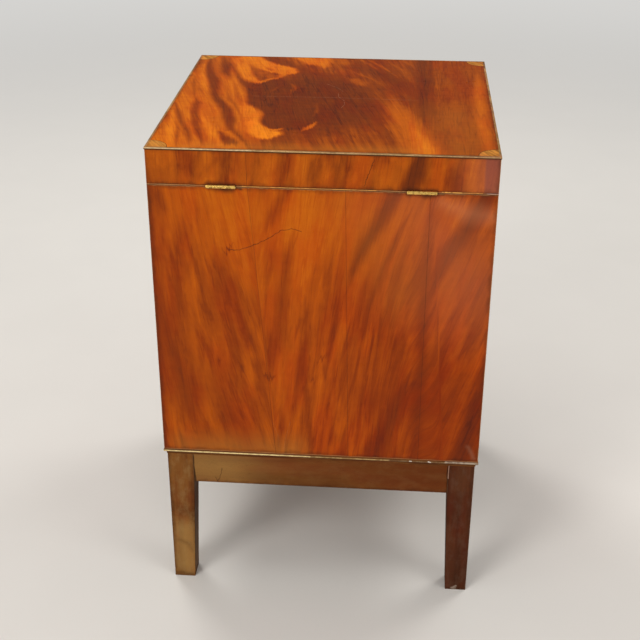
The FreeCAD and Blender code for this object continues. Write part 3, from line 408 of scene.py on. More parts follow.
# Figure of the lid's top, as bands laid one over another: tone, strength, softness in mm, and points
# (across, along, half width) in mm from the lock-side corner at the high end of X. A half width below
# zero lets a band die away at its end.
LID_TOP_FIGURE = (
    (0.66, 1.00, 14.0, ((15, 0, 55), (30, 110, 50), (45, 230, 55))),
    (0.73, 1.00, 14.0, ((45, 270, 55), (70, 330, 58), (60, 458, 76))),
    (0.27, 0.85, 22.0, ((250, -10, 30), (300, 60, 34), (332, 160, 26), (345, 240, 10))),
    (0.24, 0.85, 18.0, ((178, 106, 26), (232, 128, 30), (290, 170, 22))),
    (0.15, 0.75, 14.0, ((246, 44, 8), (293, 92, 14), (318, 130, 12), (330, 170, -4))),
    (0.14, 0.95, 26.0, ((205, 160, 40), (240, 220, 52), (244, 300, 52), (224, 366, 18))),
    (0.14, 0.95, 4.0, ((133, 170, 35), (138, 215, 36), (152, 262, 40), (181, 292, 41), (177, 330, 42))),
    (0.15, 0.90, 14.0, ((150, 150, 24), (205, 168, 40), (212, 240, 46), (214, 306, 40), (196, 346, 26))),
    (0.25, 0.55, 16.0, ((200, 330, 4), (214, 372, 18), (196, 410, 10))),
    (0.24, 0.85, 6.0, ((112, -4, 10), (126, 26, 15), (148, 50, 14), (168, 78, 12), (176, 100, 10))),
    (0.88, 0.95, 4.0, ((76, -4, 18), (94, 34, 18), (118, 62, 20), (142, 80, 21), (154, 90, 12))),
    (0.60, 0.60, 5.0, ((82, 20, -3), (92, 56, 4), (104, 88, 5), (112, 104, -3))),
    (0.85, 0.95, 4.0, ((64, 20, 8), (76, 70, 13), (86, 112, 13), (96, 136, 12), (107, 147, 9),
                       (119, 142, 5))),
    (0.58, 0.70, 6.0, ((110, 98, 7), (130, 117, 6))),
    (0.36, 0.70, 3.0, ((120, 106, -1), (128, 114, 3), (134, 118, -1))),
    (0.80, 0.85, 3.0, ((140, 88, 12), (143, 104, 6), (139, 122, 3), (124, 134, 4))),
    (0.84, 0.90, 5.0, ((180, -10, 36), (191, 20, 24), (203, 45, 10), (204, 66, -2))),
    (0.60, 0.75, 9.0, ((226, 0, 10), (234, 30, 9), (243, 60, -5))),
    (0.62, 0.75, 9.0, ((240, 112, -4), (256, 126, 9), (268, 142, 9), (280, 162, -6))),
    (0.44, 0.60, 12.0, ((285, 160, 2), (300, 200, 6), (310, 240, 2))),
    (0.60, 0.60, 3.0, ((252, -4, 3), (276, 36, 4), (296, 84, -2))),
    (0.66, 0.60, 2.4, ((270, 2, 1), (298, 50, 3), (322, 104, -1))),
    (0.56, 0.60, 3.0, ((300, 10, -1), (326, 62, 4), (342, 124, 3), (350, 170, -2))),
    (0.64, 0.50, 2.4, ((238, 62, -1), (262, 92, 3), (288, 128, -1))),
    (0.56, 0.50, 2.4, ((322, -4, 1), (344, 40, 3), (358, 96, -1))),
    (0.50, 0.50, 2.4, ((268, 96, -1), (292, 134, 3), (318, 196, -1))),
    (0.52, 0.50, 2.0, ((296, 226, -1), (306, 268, 2.4), (318, 322, -1))),
    (0.46, 0.50, 2.0, ((276, 330, -1), (286, 372, 2.4), (300, 424, -1))),
    (0.24, 0.90, 6.0, ((40, 8, 2), (47, 50, 9), (57, 90, 11), (73, 130, 10), (90, 158, 12), (104, 172, 12))),
    (0.22, 0.90, 4.5, ((17, 14, 1), (22, 60, 6), (28, 100, 9), (43, 150, 10), (51, 200, 6),
                       (62, 240, 7), (82, 290, 9), (95, 340, 7), (100, 376, 3))),
    (0.34, 0.88, 4.0, ((99, 366, 4), (112, 395, 4), (125, 422, 4), (136, 452, -2))),
    (0.24, 0.90, 4.5, ((88, 388, 2), (98, 412, 7), (109, 430, 9), (118, 444, -2))),
    (0.36, 0.88, 3.5, ((30, 226, -2), (36, 262, 6), (41, 315, 7), (53, 365, 6), (62, 400, 5), (73, 442, -2))),
    (0.34, 0.85, 3.0, ((5, 262, 2), (19, 314, 4), (29, 350, 4), (42, 385, 4), (52, 420, 3), (60, 452, -2))),
    (0.38, 0.80, 2.4, ((16, 330, -1), (26, 372, 3.0), (34, 410, 2.4), (40, 446, -1))),
    (0.38, 0.75, 2.4, ((8, 120, -1), (14, 160, 3), (22, 205, 2), (32, 250, -1))),
    (0.42, 0.75, 2.4, ((70, 205, -1), (80, 240, 3), (98, 285, 2), (108, 318, -1))),
    (0.40, 0.75, 2.4, ((75, 372, -1), (83, 408, 3.0), (90, 444, -1))),
    (0.86, 0.80, 2.0, ((27, 284, -1), (34, 320, 2.4), (45, 362, -1))),
    (0.50, 0.70, 3.0, ((20, 6, 2), (32, 70, 4), (44, 120, 3), (60, 170, -2))),
    (0.92, 0.70, 4.0, ((10, 30, -2), (20, 110, 5), (34, 180, 5), (46, 240, -3))),
    (0.90, 0.75, 5.0, ((56, 60, -2), (74, 150, 8), (92, 220, 8), (112, 280, -4))),
    (0.46, 0.70, 3.0, ((66, 130, -2), (80, 180, 3), (92, 232, 3), (108, 270, -2))),
    (0.90, 0.75, 4.0, ((48, 300, -3), (62, 350, 6), (80, 400, 6), (96, 440, 4))),
    (0.92, 0.70, 4.0, ((8, 300, 2), (20, 380, 6), (30, 450, 6))),
    (0.40, 0.70, 3.0, ((44, 330, -1), (56, 376, 3), (70, 424, 3), (80, 456, -2))),
    (0.44, 0.70, 3.0, ((104, 300, -2), (112, 330, 4), (122, 360, 3), (128, 380, -2))),
    (0.50, 0.60, 3.0, ((100, 40, -2), (118, 72, 3), (134, 92, -2))),
    (0.90, 0.85, 5.0, ((100, 250, -2), (110, 276, 9), (121, 302, 13), (124, 328, 12), (126, 350, 9))),
    (1.00, 0.92, 4.0, ((124, 346, 7), (138, 380, 15), (150, 394, 18), (160, 388, 12))),
    (0.88, 0.85, 3.0, ((134, 362, 4), (150, 374, 6), (168, 370, 3))),
    (0.48, 0.80, 2.0, ((158, 147, -1), (166, 162, 2.4), (170, 180, 3.0), (169, 200, -1))),
    (0.50, 0.70, 1.6, ((164, 188, 1.6), (165, 206, 0.4))),
    (0.34, 0.80, 3.0, ((146, 168, -1), (140, 184, 2.2), (133, 202, -1))),
    (0.30, 0.70, 3.0, ((149, 250, -1), (152, 260, 2.6), (154, 270, -1))),
    (0.38, 0.80, 2.4, ((208, 252, -1), (211, 280, 2.6), (209, 296, 1.8), (206, 314, -1))),
    (0.30, 0.60, 2.0, ((225, 292, -1), (226, 302, 1.6), (226, 310, -1))),
    (0.78, 0.88, 2.2, ((212, 334, 0.4), (208, 346, 4.0), (203, 360, 4.6), (197, 376, 0.6))),
    (0.46, 0.65, 1.6, ((189, 380, 0.4), (187, 390, 1.6), (184, 400, 0.2))),
    (0.13, 0.80, 9.0, ((358, -10, 12), (362, 150, 11), (360, 280, 8), (362, 360, -6))),
    (0.39, 0.95, 1.6, ((414, -30, 40), (415, 150, 39), (414, 500, 38))),
    (0.45, 0.60, 40.0, ((412, 320, 26), (414, 480, 34))),
    (0.54, 0.55, 8.0, ((398, 190, -3), (402, 260, 8), (396, 330, 8), (405, 400, -3))),
    (0.70, 0.85, 9.0, ((306, 180, -5), (316, 230, 3), (324, 280, 12), (338, 340, 19), (350, 400, 23),
                       (362, 460, 24))),
    (0.90, 0.75, 8.0, ((338, 330, -5), (350, 380, 7), (363, 430, 13), (368, 462, 12))),
    (0.74, 0.80, 5.0, ((443, 62, -3), (442, 120, 6), (440, 200, 9), (439, 330, 9), (443, 446, 5))),
    (0.25, 0.60, 4.0, ((459, -4, 5), (458, 230, 2))),
    (0.30, 0.70, 5.0, ((1, 0, 5), (5, 50, 5), (3, 100, 1))),
    (0.38, 0.60, 7.0, ((200, 452, 6), (300, 456, 8))),
)

# Figure of the case's back, in mm from its top corner at the high end of X.
CASE_BACK_FIGURE = (
    # The first band lightens the top of the back: partly lighter figure, partly painted light.
    (0.80, 0.80, 60.0, ((60, 10, 40), (170, 50, 55), (330, 40, 40))),
    (0.36, 0.88, 45.0, ((6, 200, 18), (24, 300, 36))),
    (0.30, 0.88, 60.0, ((330, 310, 44), (430, 330, 56))),
    (0.55, 0.75, 26.0, ((58, 398, 20), (125, 396, 26))),
    (0.84, 0.80, 17.0, ((203, -15, 20), (206, 90, 22), (204, 150, 10), (200, 190, -10))),
    (0.80, 0.70, 16.0, ((108, -5, 10), (116, 60, 14), (134, 140, 10), (148, 200, -10))),
    (0.70, 0.60, 26.0, ((258, 10, 14), (292, 60, 20), (276, 150, 18))),
    (0.62, 0.50, 14.0, ((170, 90, 6), (172, 230, 8))),
    (0.34, 0.45, 22.0, ((50, 300, 14), (104, 318, 14), (140, 344, 10))),
    (0.76, 0.65, 14.0, ((175, 190, -8), (170, 250, 8), (176, 320, 8), (190, 380, -8))),
    (0.14, 0.83, 6.0, ((0, -4, 5), (0, 411, 5))),
    (0.14, 0.68, 12.0, ((12, 12, 6), (18, 34, 3))),
    (0.28, 0.83, 7.0, ((98, 90, -5), (108, 130, 4), (118, 180, 5), (134, 226, 4), (152, 274, -3))),
    (0.34, 0.73, 10.0, ((78, 100, -6), (92, 150, 6), (108, 220, 8), (120, 284, -6))),
    (0.36, 0.68, 8.0, ((58, 60, -5), (72, 130, 4), (86, 200, 5), (96, 260, -5))),
    (0.26, 0.83, 10.0, ((2, 160, 4), (20, 240, 8), (37, 318, 8), (54, 400, -3))),
    (0.36, 0.68, 8.0, ((30, 230, -5), (46, 290, 5), (66, 360, -5))),
    (0.34, 0.73, 8.0, ((188, -6, 5), (165, 36, 8), (150, 72, -5))),
    (0.32, 0.83, 8.0, ((196, 52, -4), (185, 95, 6), (176, 160, 7), (167, 230, 6), (158, 290, -4))),
    (0.38, 0.63, 6.0, ((246, 60, -4), (240, 150, 4), (228, 240, -4))),
    (0.32, 0.73, 8.0, ((218, 190, -5), (208, 228, 6), (199, 258, 3), (192, 290, -6))),
    (0.12, 0.93, 8.0, ((332, -8, 8), (308, 36, 9), (288, 74, 7), (274, 110, 4), (266, 150, -6))),
    (0.24, 0.83, 5.0, ((356, 4, -3), (333, 54, 3), (313, 106, 4), (297, 160, 4), (284, 230, -4))),
    (0.34, 0.68, 6.0, ((300, 96, -4), (286, 150, 4), (276, 220, 4), (270, 300, -4))),
    (0.30, 0.83, 9.0, ((350, 46, -5), (332, 116, 6), (318, 190, 7), (302, 270, -5))),
    (0.28, 0.78, 12.0, ((362, 70, -5), (356, 130, 8), (346, 200, -8))),
    (0.18, 0.83, 9.0, ((372, 16, 2), (369, 150, 7), (368, 260, 7), (366, 410, 5))),
    (0.86, 0.80, 9.0, ((384, 12, 2), (410, 22, 10), (404, 44, 8), (390, 66, -4))),
    (0.09, 0.93, 9.0, ((446, -6, 9), (418, 50, 10), (396, 90, 7), (384, 122, 3), (376, 160, -6))),
    (0.60, 0.60, 10.0, ((456, 50, 4), (430, 106, 8), (408, 158, 3), (394, 210, -6))),
    (0.26, 0.73, 9.0, ((456, 150, 3), (438, 205, 6), (420, 270, -6))),
    (0.28, 0.68, 7.0, ((404, 200, -4), (396, 260, 5), (388, 330, -4))),
    (0.14, 0.88, 13.0, ((352, 270, -5), (332, 335, 9), (310, 400, 13), (304, 430, 12))),
    (0.50, 0.65, 6.0, ((358, 310, -3), (350, 360, 4), (344, 415, 3))),
    (0.52, 0.65, 8.0, ((434, 280, -4), (424, 340, 7), (412, 400, 5))),
    (0.06, 0.93, 11.0, ((458, 270, 4), (443, 340, 9), (431, 415, 13))),
    (0.76, 0.70, 9.0, ((226, 278, -4), (230, 294, 7), (234, 310, -3))),
    (0.14, 0.78, 5.0, ((84, 252, -2), (87, 262, 2.5), (86, 274, -2))),
    (0.16, 0.78, 5.0, ((112, 254, -2), (116, 264, 2.5), (119, 276, -2))),
    (0.04, 0.88, 3.4, ((150, 280, 0), (157, 285, 3.4), (168, 281, -1))),
    (0.08, 0.83, 2.4, ((215, 289, 0.6), (219, 290, 1.4))),
    (0.14, 0.78, 3.4, ((222, 258, -1), (230, 254, 2.4), (236, 250, -1))),
    (0.08, 0.83, 3.0, ((99, 92, 0), (104, 88, 2), (114, 80, -1))),
)

# Figure of the lid's back rim, in mm from its top corner at the high end of X.
LID_BACK_FIGURE = (
    (0.38, 0.75, 8.0, ((44, 2, 5), (64, 14, 8), (60, 34, 3))),
    (0.62, 0.70, 9.0, ((20, 40, 12), (50, 46, 10))),
    (0.32, 0.75, 5.0, ((97, -2, 3), (102, 26, 3), (105, 54, 3))),
    (0.44, 0.65, 6.0, ((184, -4, 5), (190, 54, 5))),
    (0.74, 0.65, 10.0, ((165, 4, 11), (160, 48, 11))),
    (0.76, 0.65, 7.0, ((205, -2, 7), (206, 54, 7))),
    (0.38, 0.70, 6.0, ((236, -2, 2), (250, 26, 7), (246, 52, 4))),
    (0.72, 0.70, 10.0, ((276, 8, 9), (310, 30, 17), (325, 40, 8))),
    (0.40, 0.70, 4.0, ((302, 0, 4), (297, 20, 2))),
    (0.13, 0.88, 6.0, ((358, -6, 4), (350, 20, 10), (340, 46, 10))),
    (0.72, 0.75, 7.0, ((382, -2, 9), (376, 54, 10))),
    (0.30, 0.65, 6.0, ((409, -2, 3), (404, 28, 5), (396, 52, 2))),
    (0.76, 0.75, 6.0, ((424, -2, 6), (421, 54, 7))),
)


def stroke_mask(maker, position, points, softness):
    """The mask of strokes from point to point, each point with a half width and all in mm."""
    mask = None
    for (x1, y1, w1), (x2, y2, w2) in zip(points, points[1:]):
        stroke = maker.group(
            "Figure Stroke", Position=position, Start=(x1 * MM, y1 * MM, 0.0), End=(x2 * MM, y2 * MM, 0.0),
            Start_Width=w1 * MM, End_Width=w2 * MM, Softness=softness * MM)["Mask"]
        mask = stroke if mask is None else maker.math("MAXIMUM", mask, stroke)
    return mask


def line_mask(maker, position, lines, width, softness):
    """The mask of thin lines such as seams, cracks and scratches, each a row of points in mm."""
    mask = None
    for points in lines:
        line = stroke_mask(maker, position, [(x, y, width) for x, y in points], softness)
        mask = line if mask is None else maker.math("MAXIMUM", mask, line)
    return mask


def paint_figure(maker, tone, position, bands, blur=1.0):
    """Lays bands of figure over a tone, one after another, and returns the new tone."""
    for band_tone, strength, softness, points in bands:
        mask = stroke_mask(maker, position, points, softness * blur)
        tone = maker.between(maker.math("MULTIPLY", mask, strength), tone, band_tone)
    return tone


def paint_patches(maker, colour, position, patches):
    """Lays soft patches of another colour, such as faded or stained wood, over a colour."""
    for patch_colour, strength, softness, points in patches:
        colour = maker.lay(colour, patch_colour, stroke_mask(maker, position, points, softness), strength)
    return colour


def paint_wear_and_light_lines(maker, colour, position, lines):
    """Lays worn, dirty, painted highlight and painted shadow lines over a colour: each a colour, strength,
    unevenness, half width and points.
    """
    broken = maker.noise(maker.vector("MULTIPLY", position, (150.0, 150.0, 0.0)), detail=3.0, roughness=0.6)
    broken = maker.span(broken, 0.42, 0.58)
    for line_colour, strength, unevenness, width, points in lines:
        mask = line_mask(maker, position, (points,), width, width * 0.7)
        share = maker.math("MULTIPLY_ADD", broken, unevenness * strength, (1.0 - unevenness) * strength)
        colour = maker.lay(colour, line_colour, mask, share)
    return colour


def face_position(maker, face):
    """A point's place on a face: metres across, along and out from its first corner."""
    place = maker.node("ShaderNodeTexCoord").outputs["Object"]
    from_corner = maker.vector("SUBTRACT", place, tuple(face.corner))
    return place, maker.join(
        maker.vector("DOT_PRODUCT", from_corner, tuple(face.across)),
        maker.vector("DOT_PRODUCT", from_corner, tuple(face.along)),
        maker.vector("DOT_PRODUCT", from_corner, tuple(face.out)))


def new_material(name):
    """A material with its surface shader, and the maker for its tree."""
    material = bpy.data.materials.new(name)
    material.use_nodes = True
    tree = material.node_tree
    tree.nodes.clear()
    maker = Maker(tree)
    shader = maker.node("ShaderNodeBsdfPrincipled")
    output = maker.node("ShaderNodeOutputMaterial", {"Surface": shader.outputs[0]})
    output.is_active_output = True
    return material, maker, shader


def set_material(material, *names):
    """Gives one material to CAD nodes."""
    for name in names:
        data = NODES[name].data
        data.materials.clear()
        data.materials.append(material)


def soften(width, *names, segments=2):
    """Rounds the edges of CAD nodes a little, as planing and handling leave them."""
    for name in names:
        piece = NODES[name]
        weld = piece.modifiers.new("Weld", "WELD")
        weld.merge_threshold = 0.01 * MM
        bevel = piece.modifiers.new("Bevel", "BEVEL")
        bevel.width = width * MM
        bevel.segments = segments
        bevel.limit_method = "ANGLE"
        bevel.angle_limit = math.radians(35)
        bevel.harden_normals = False
        piece.modifiers.new("Weighted Normal", "WEIGHTED_NORMAL").keep_sharp = True


def bump(maker, shader, height, distance, strength=1.0):
    """Raises and lowers the surface by a height."""
    made = maker.node("ShaderNodeBump", {"Height": height, "Distance": distance, "Strength": strength})
    maker.feed(shader.inputs["Normal"], made.outputs[0])


def leaning(maker, across, along, lean, crease):
    """Leans the grain, and returns the leant place across and the slope.

    lean is a row of points, each a place across in mm and the slope there. crease is a line between two
    places across in mm, and the face's length in metres, that carries those points along.
    """
    place = across
    if crease:
        (top, foot), length = crease
        shift = maker.span(along, 0.0, length, 0.0, (foot - top) * MM, smooth=False)
        place = maker.math("SUBTRACT", across, shift)
    slope = lean[0][1]
    for (x1, slope1), (x2, slope2) in zip(lean, lean[1:]):
        slope = maker.math("ADD", slope, maker.span(place, x1 * MM, x2 * MM, 0.0, slope2 - slope1))
    return maker.math("SUBTRACT", across, maker.math("MULTIPLY", along, slope)), slope


def shades(colour, shares):
    """Darker and lighter shades of one colour."""
    return tuple(tuple(Vector(colour) * share) for share in shares)


def wood_grain(maker, place, pore_place, pores, pore_width=1.0):
    """The grain of one wood, with pores as many and as wide as its kind has."""
    surface = bpy.context.scene.cellarette_surface
    return maker.group(
        "Wood Grain", Position=place, Pore_Position=pore_place,
        Fibre_Width=surface.fibre_width, Fibre_Length=surface.fibre_length,
        Pore_Width=surface.pore_width * pore_width, Pore_Length=surface.pore_length, Pore_Amount=pores)


def wood_colour(maker, tone, tones):
    """The colour of a tone from 0 to 1 between the four colours of a wood, darkest first."""
    dark, low, high, light = tones
    return maker.group("Wood Tone", Tone=tone, Dark=dark, Low=low, High=high, Light=light)["Colour"]


def edge_wear(maker, place, box, grime_width=1.0):
    """The worn arrises of a box and the dirty wax beside them."""
    surface = bpy.context.scene.cellarette_surface
    return maker.group(
        "Edge Wear", Position=place, Low=tuple(box[0]), High=tuple(box[1]),
        Width=surface.edge_width, Grime_Width=surface.grime_width * grime_width)


# How strongly dirt darkens open pores, veneer joints and cracks, how strongly painted shade darkens the inner
# side of a leg, and how deep joints and cracks lie beside the height of the grain.
PORE_DIRT = 0.55
SEAM_DIRT = 0.42
SEAM_DEPTH = 0.35
CRACK_DIRT = 0.70
CRACK_DEPTH = 0.5
LEG_INNER_SHADE = 0.72

# Colours that the wood is multiplied by: old polish in cloudy patches, and toward the far side of a face a
# redder tone with painted shade.
BLUSH = (0.93, 0.66, 0.85)
REDDENED_AND_SHADED = (1.0, 0.72, 0.9)


def polished_wood(name, face, box, tones, figure=(), base_tone=0.5, flame=0.3, flame_offset=(0, 0, 0),
                  band=(0.028, 0.30), lean=((0, 0.0),), crease=None, sway=0.004, feather=0.012, blur=1.0,
                  grain=0.14, fleck=0.0, veins=0.0, pores=0.45, roughness=0.30, gloss=(1.12, 0.05),
                  redden_and_shade=0.0, bloom=None, patches=(), inner=None, edge_tone=(0.50, 0.25, 0.10),
                  arris=0.5, grime=0.5, worn=(), depth=0.3, seams=(), cracks=(), solid=False):
    """Polished veneer or solid wood on one face.

    Figure: figure is the listed bands and flame the strength of the free figure between them, whose bands
    are band wide and long. sway is how far the figure wanders and feather how far its ends fray along the
    grain, in metres. lean and crease turn the grain, and solid lets it run through to the other faces.
    Colour: the red shift reddens and darkens the far, lower side of a face, a redder tone with painted shade.
    bloom is the colour and strength of cloudy faded patches.
    inner is the size at the top, the size at the foot and the length of the square top of a leg, whose inner
    side is darkened with painted shade.
    Surface: gloss is the index of refraction of the polish and the weight of the coat over it. depth says how
    fast worn lines, and lines of painted highlight and shadow, fade away from the face.
    """
    surface = bpy.context.scene.cellarette_surface
    dirt = tuple(bpy.context.scene.cellarette_colours.dirt)
    material, maker, shader = new_material(name)

    # Places: flat on the face, along the leaning grain, and shaken so that figure wanders and frays.
    place, position = face_position(maker, face)
    across, along, out = maker.split(position)
    flat = maker.join(across, along)
    leant, slope = leaning(maker, across, along, lean, crease)
    grain_place = maker.join(leant, along, out if solid else 0.0)
    pore_place = maker.join(maker.math("MULTIPLY_ADD", along, -lean[0][1], across), along, out)
    shake = maker.noise_vector(maker.vector("MULTIPLY", grain_place, (42.0, 11.0, 42.0)), detail=2.0)
    fringe = maker.noise(
        maker.vector("MULTIPLY", grain_place, (260.0, 13.0, 260.0)), detail=4.0, roughness=0.62)
    fray = maker.math("MULTIPLY", maker.math("SUBTRACT", fringe, 0.5), feather * 4.0)
    shaken = maker.vector("MULTIPLY_ADD", shake, (sway * 2.0, sway * 3.0, 0.0), flat)
    moved = maker.vector("ADD", shaken, maker.join(maker.math("MULTIPLY", fray, slope), fray))

    # Tone from 0 to 1.
    free = maker.group(
        "Flame Figure", Position=grain_place, Offset=flame_offset, Band_Width=band[0], Band_Length=band[1])
    wood = wood_grain(maker, grain_place, pore_place, pores)
    polish = maker.group("Old Polish", Position=position, Roughness=roughness, Spread=0.12)
    tone = paint_figure(maker, maker.vary(base_tone, free["Tone"], flame), moved, figure, blur)
    tone = maker.vary(tone, wood["Streak"], grain * 2.0)
    vein = maker.math("MULTIPLY", wood["Vein"], maker.span(free["Fleck"], 0.36, 0.60))
    tone = maker.math("MULTIPLY_ADD", vein, -veins, tone)
    tone = maker.vary(tone, free["Ripple"], grain * 0.8)
    tone = maker.vary(tone, free["Fleck"], fleck)
    tone = maker.vary(tone, polish["Mottle"], grain, clamp=True)

    # Colour of the wood under its polish.
    colour = wood_colour(maker, tone, tones)
    # Painted shade with a redder tone, growing toward the far, lower side of the face.
    if redden_and_shade:
        far_side = maker.span(across, 0.06, 0.45, 0.0, redden_and_shade)
        below_top = maker.span(along, -0.10, 0.30, 0.15, 1.0)
        red_and_shade_mask = maker.math("MULTIPLY", far_side, below_top)
        colour = maker.tint(red_and_shade_mask, colour, REDDENED_AND_SHADED, blend="MULTIPLY")
    blush = maker.noise(maker.vector("MULTIPLY", grain_place, (30.0, 9.0, 30.0)), detail=4.0, roughness=0.55)
    colour = maker.tint(maker.span(blush, 0.42, 0.64, 0.0, 0.70), colour, BLUSH, blend="MULTIPLY")
    colour = paint_patches(maker, colour, shaken, patches)
    if bloom:
        bloom_colour, bloom_strength = bloom
        cloud = maker.noise(
            maker.vector("MULTIPLY", shaken, (75.0, 38.0, 75.0)), detail=4.0, roughness=0.62)
        colour = maker.tint(maker.span(cloud, 0.42, 0.66, 0.0, bloom_strength), colour, bloom_colour)
    # Painted shade: the inner side of a back leg is darkened toward the dirt colour.
    if inner:
        top_size, foot_size, square_length = inner
        length = box[1][2] - box[0][2]
        side = maker.span(along, square_length, length, top_size, foot_size, smooth=False)
        past = maker.math("SUBTRACT", across, side)
        colour = maker.tint(maker.span(past, -0.6 * MM, 0.0, 0.0, LEG_INNER_SHADE), colour, dirt)

    # Dirt, wear, and lines of painted highlight and shadow.
    colour = maker.lay(colour, dirt, wood["Pore"], PORE_DIRT)
    height = maker.math(
        "MULTIPLY_ADD", wood["Height"], 0.10, maker.math("MULTIPLY", polish["Hollow"], 1.2))
    edge = edge_wear(maker, place, box)
    colour = maker.lay(colour, dirt, edge["Grime"], grime)
    colour = maker.lay(colour, edge_tone, edge["Arris"], arris)
    # Worn and dirty lines, and lines of painted highlight and painted shadow.
    if worn:
        near_face = maker.join(across, along, maker.math("MULTIPLY", out, depth))
        colour = paint_wear_and_light_lines(maker, colour, near_face, worn)
    seam_width = surface.seam_width / MM
    if seams:
        seam = line_mask(maker, flat, seams, seam_width, seam_width)
        colour = maker.lay(colour, dirt, seam, SEAM_DIRT)
        height = maker.math("MULTIPLY_ADD", seam, -SEAM_DEPTH, height)
    if cracks:
        waver = maker.noise_vector(maker.vector("SCALE", position, scale=180.0), detail=2.0)
        wavering = maker.vector("MULTIPLY_ADD", waver, (4.0 * MM, 4.0 * MM, 0.0), flat)
        crack = line_mask(maker, wavering, cracks, seam_width * 1.3, seam_width)
        colour = maker.lay(colour, dirt, crack, CRACK_DIRT)
        height = maker.math("MULTIPLY_ADD", crack, -CRACK_DEPTH, height)

    maker.feed(shader.inputs["Base Color"], colour)
    maker.feed(shader.inputs["Roughness"], polish["Roughness"])
    shader.inputs["IOR"].default_value = gloss[0]
    shader.inputs["Coat Weight"].default_value = gloss[1]
    shader.inputs["Coat Roughness"].default_value = 0.12
    bump(maker, shader, height, 1.2 * MM, 0.35)
    return material


# Dust on plain wood, and the share of its tone that streaks and stains take.
DUST = (0.42, 0.33, 0.24)
PLAIN_FLAME = 0.45
PLAIN_GRAIN = 0.32
PLAIN_MOTTLE = 0.25


def plain_wood(name, face, colour, box=None, dust=0.10, stains=0.5):
    """Unpolished inside wood: sawn or planed, with open grain, stains and dust."""
    dirt = tuple(bpy.context.scene.cellarette_colours.dirt)
    material, maker, shader = new_material(name)
    place, position = face_position(maker, face)
    free = maker.group("Flame Figure", Position=position, Band_Width=0.012, Band_Length=0.35, Sway=0.01)
    wood = wood_grain(maker, position, position, 0.6, pore_width=1.4)
    polish = maker.group("Old Polish", Position=position, Roughness=0.62, Spread=0.14)
    tone = maker.vary(0.5, free["Tone"], PLAIN_FLAME)
    tone = maker.vary(tone, wood["Streak"], PLAIN_GRAIN)
    tone = maker.vary(tone, polish["Mottle"], PLAIN_MOTTLE, clamp=True)
    shade = wood_colour(maker, tone, shades(colour, (0.42, 0.75, 1.2, 1.6)))
    shade = maker.lay(shade, dirt, wood["Pore"], 0.5)
    shade = maker.tint(maker.span(polish["Mottle"], 0.62, 0.78, 0.0, stains), shade, dirt)
    shade = maker.tint(maker.span(polish["Hollow"], 0.5, 0.8, 0.0, dust), shade, DUST)
    if box:
        edge = edge_wear(maker, place, box, grime_width=2.0)
        shade = maker.lay(shade, dirt, edge["Grime"], 0.6)
        shade = maker.lay(shade, tuple(Vector(colour) * 1.9), edge["Arris"], 0.4)
    maker.feed(shader.inputs["Base Color"], shade)
    maker.feed(shader.inputs["Roughness"], polish["Roughness"])
    shader.inputs["Specular IOR Level"].default_value = 0.3
    bump(maker, shader, wood["Height"], 0.4 * MM, 0.6)
    return material


def aged_metal(name, colour, tarnish, patch=4.0, roughness=0.34, dull=0.6):
    """Old brass or steel: bright where it is rubbed, and brown in patches patch mm wide."""
    material, maker, shader = new_material(name)
    place = maker.node("ShaderNodeTexCoord").outputs["Object"]
    aged = maker.group("Aged Metal", Position=place, Patch_Size=patch * MM, Scratch_Size=0.3 * MM)
    near = maker.vector("SCALE", place, scale=6.0)
    polish = maker.group("Old Polish", Position=near, Roughness=roughness, Spread=0.3)
    shade = maker.lay(colour, tarnish, aged["Tarnish"], dull)
    shade = maker.tint(maker.span(aged["Rubbed"], 0.35, 0.75, 0.0, 0.35), shade, tuple(Vector(colour) * 1.15))
    maker.feed(shader.inputs["Base Color"], shade)
    rough = maker.math("MULTIPLY_ADD", aged["Tarnish"], 0.25, polish["Roughness"], clamp=True)
    maker.feed(shader.inputs["Roughness"], rough)
    shader.inputs["Metallic"].default_value = 1.0
    bump(maker, shader, aged["Height"], 0.3 * MM, 0.5)
    return material


# ------------------------------------------------------------------ operators

class PieceOperator:
    """What every operator of this file shares."""

    bl_options = {"REGISTER", "UNDO"}

    def execute(self, context):
        make_shared_groups()
        self.make(context.scene.cellarette_colours)
        return {"FINISHED"}


# Lines where the lid meets the case: worn edges with painted highlights, and painted shade with dirt in the
# joint between them; fine scratches on the lid.
JOINT_WEAR_AND_HIGHLIGHT = (0.50, 0.28, 0.11)
JOINT_GOLD_WEAR_AND_HIGHLIGHT = (0.78, 0.38, 0.09)
JOINT_SHADE_AND_DIRT = (0.030, 0.011, 0.005)
SCRATCH = (0.44, 0.25, 0.14)
RUBBED = (0.42, 0.17, 0.06)

# Across the back, in mm from the high end of X: where each hinge starts and ends.
HINGE_SPANS = ((82, 114), (343, 375))

# Old polish on faces that are seen at a low angle: index of refraction and coat weight.
FLAT_GLOSS = (1.025, 0.02)

# What the rims of the lid share, the faces of the case, the pieces of the top, and the legs and rails.
LID_WOOD = {"sway": 0.003, "grain": 0.10, "fleck": 0.18, "veins": 0.12}
CASE_WOOD = {"grain": 0.10, "pores": 0.3}
TOP_POLISH = {"arris": 0.0, "gloss": FLAT_GLOSS}
STAND_WOOD = {"arris": 0.3, "gloss": (1.08, 0.02), "solid": True}


def mahogany(colours):
    """The four colours of the veneer, darkest first."""
    return tuple(tuple(colour) for colour in (
        colours.figure_dark, colours.figure_red, colours.figure_orange, colours.figure_gold))


def darker_mahogany(colours):
    """The case's redder and darker veneer."""
    redder = Vector((0.98, 0.90, 0.75))
    return tuple(
        tuple(Vector(colour) * redder * share)
        for colour, share in zip(mahogany(colours), (1.4, 1.2, 1.04, 0.92)))


def hinge_grime_and_shade(along):
    """Patches of dark wax and painted shade beside the hinges, at one place along a face."""
    return tuple(
        (JOINT_SHADE_AND_DIRT, 0.85, 5.0, ((start, along, 4), (end, along, 4))) for start, end in HINGE_SPANS)


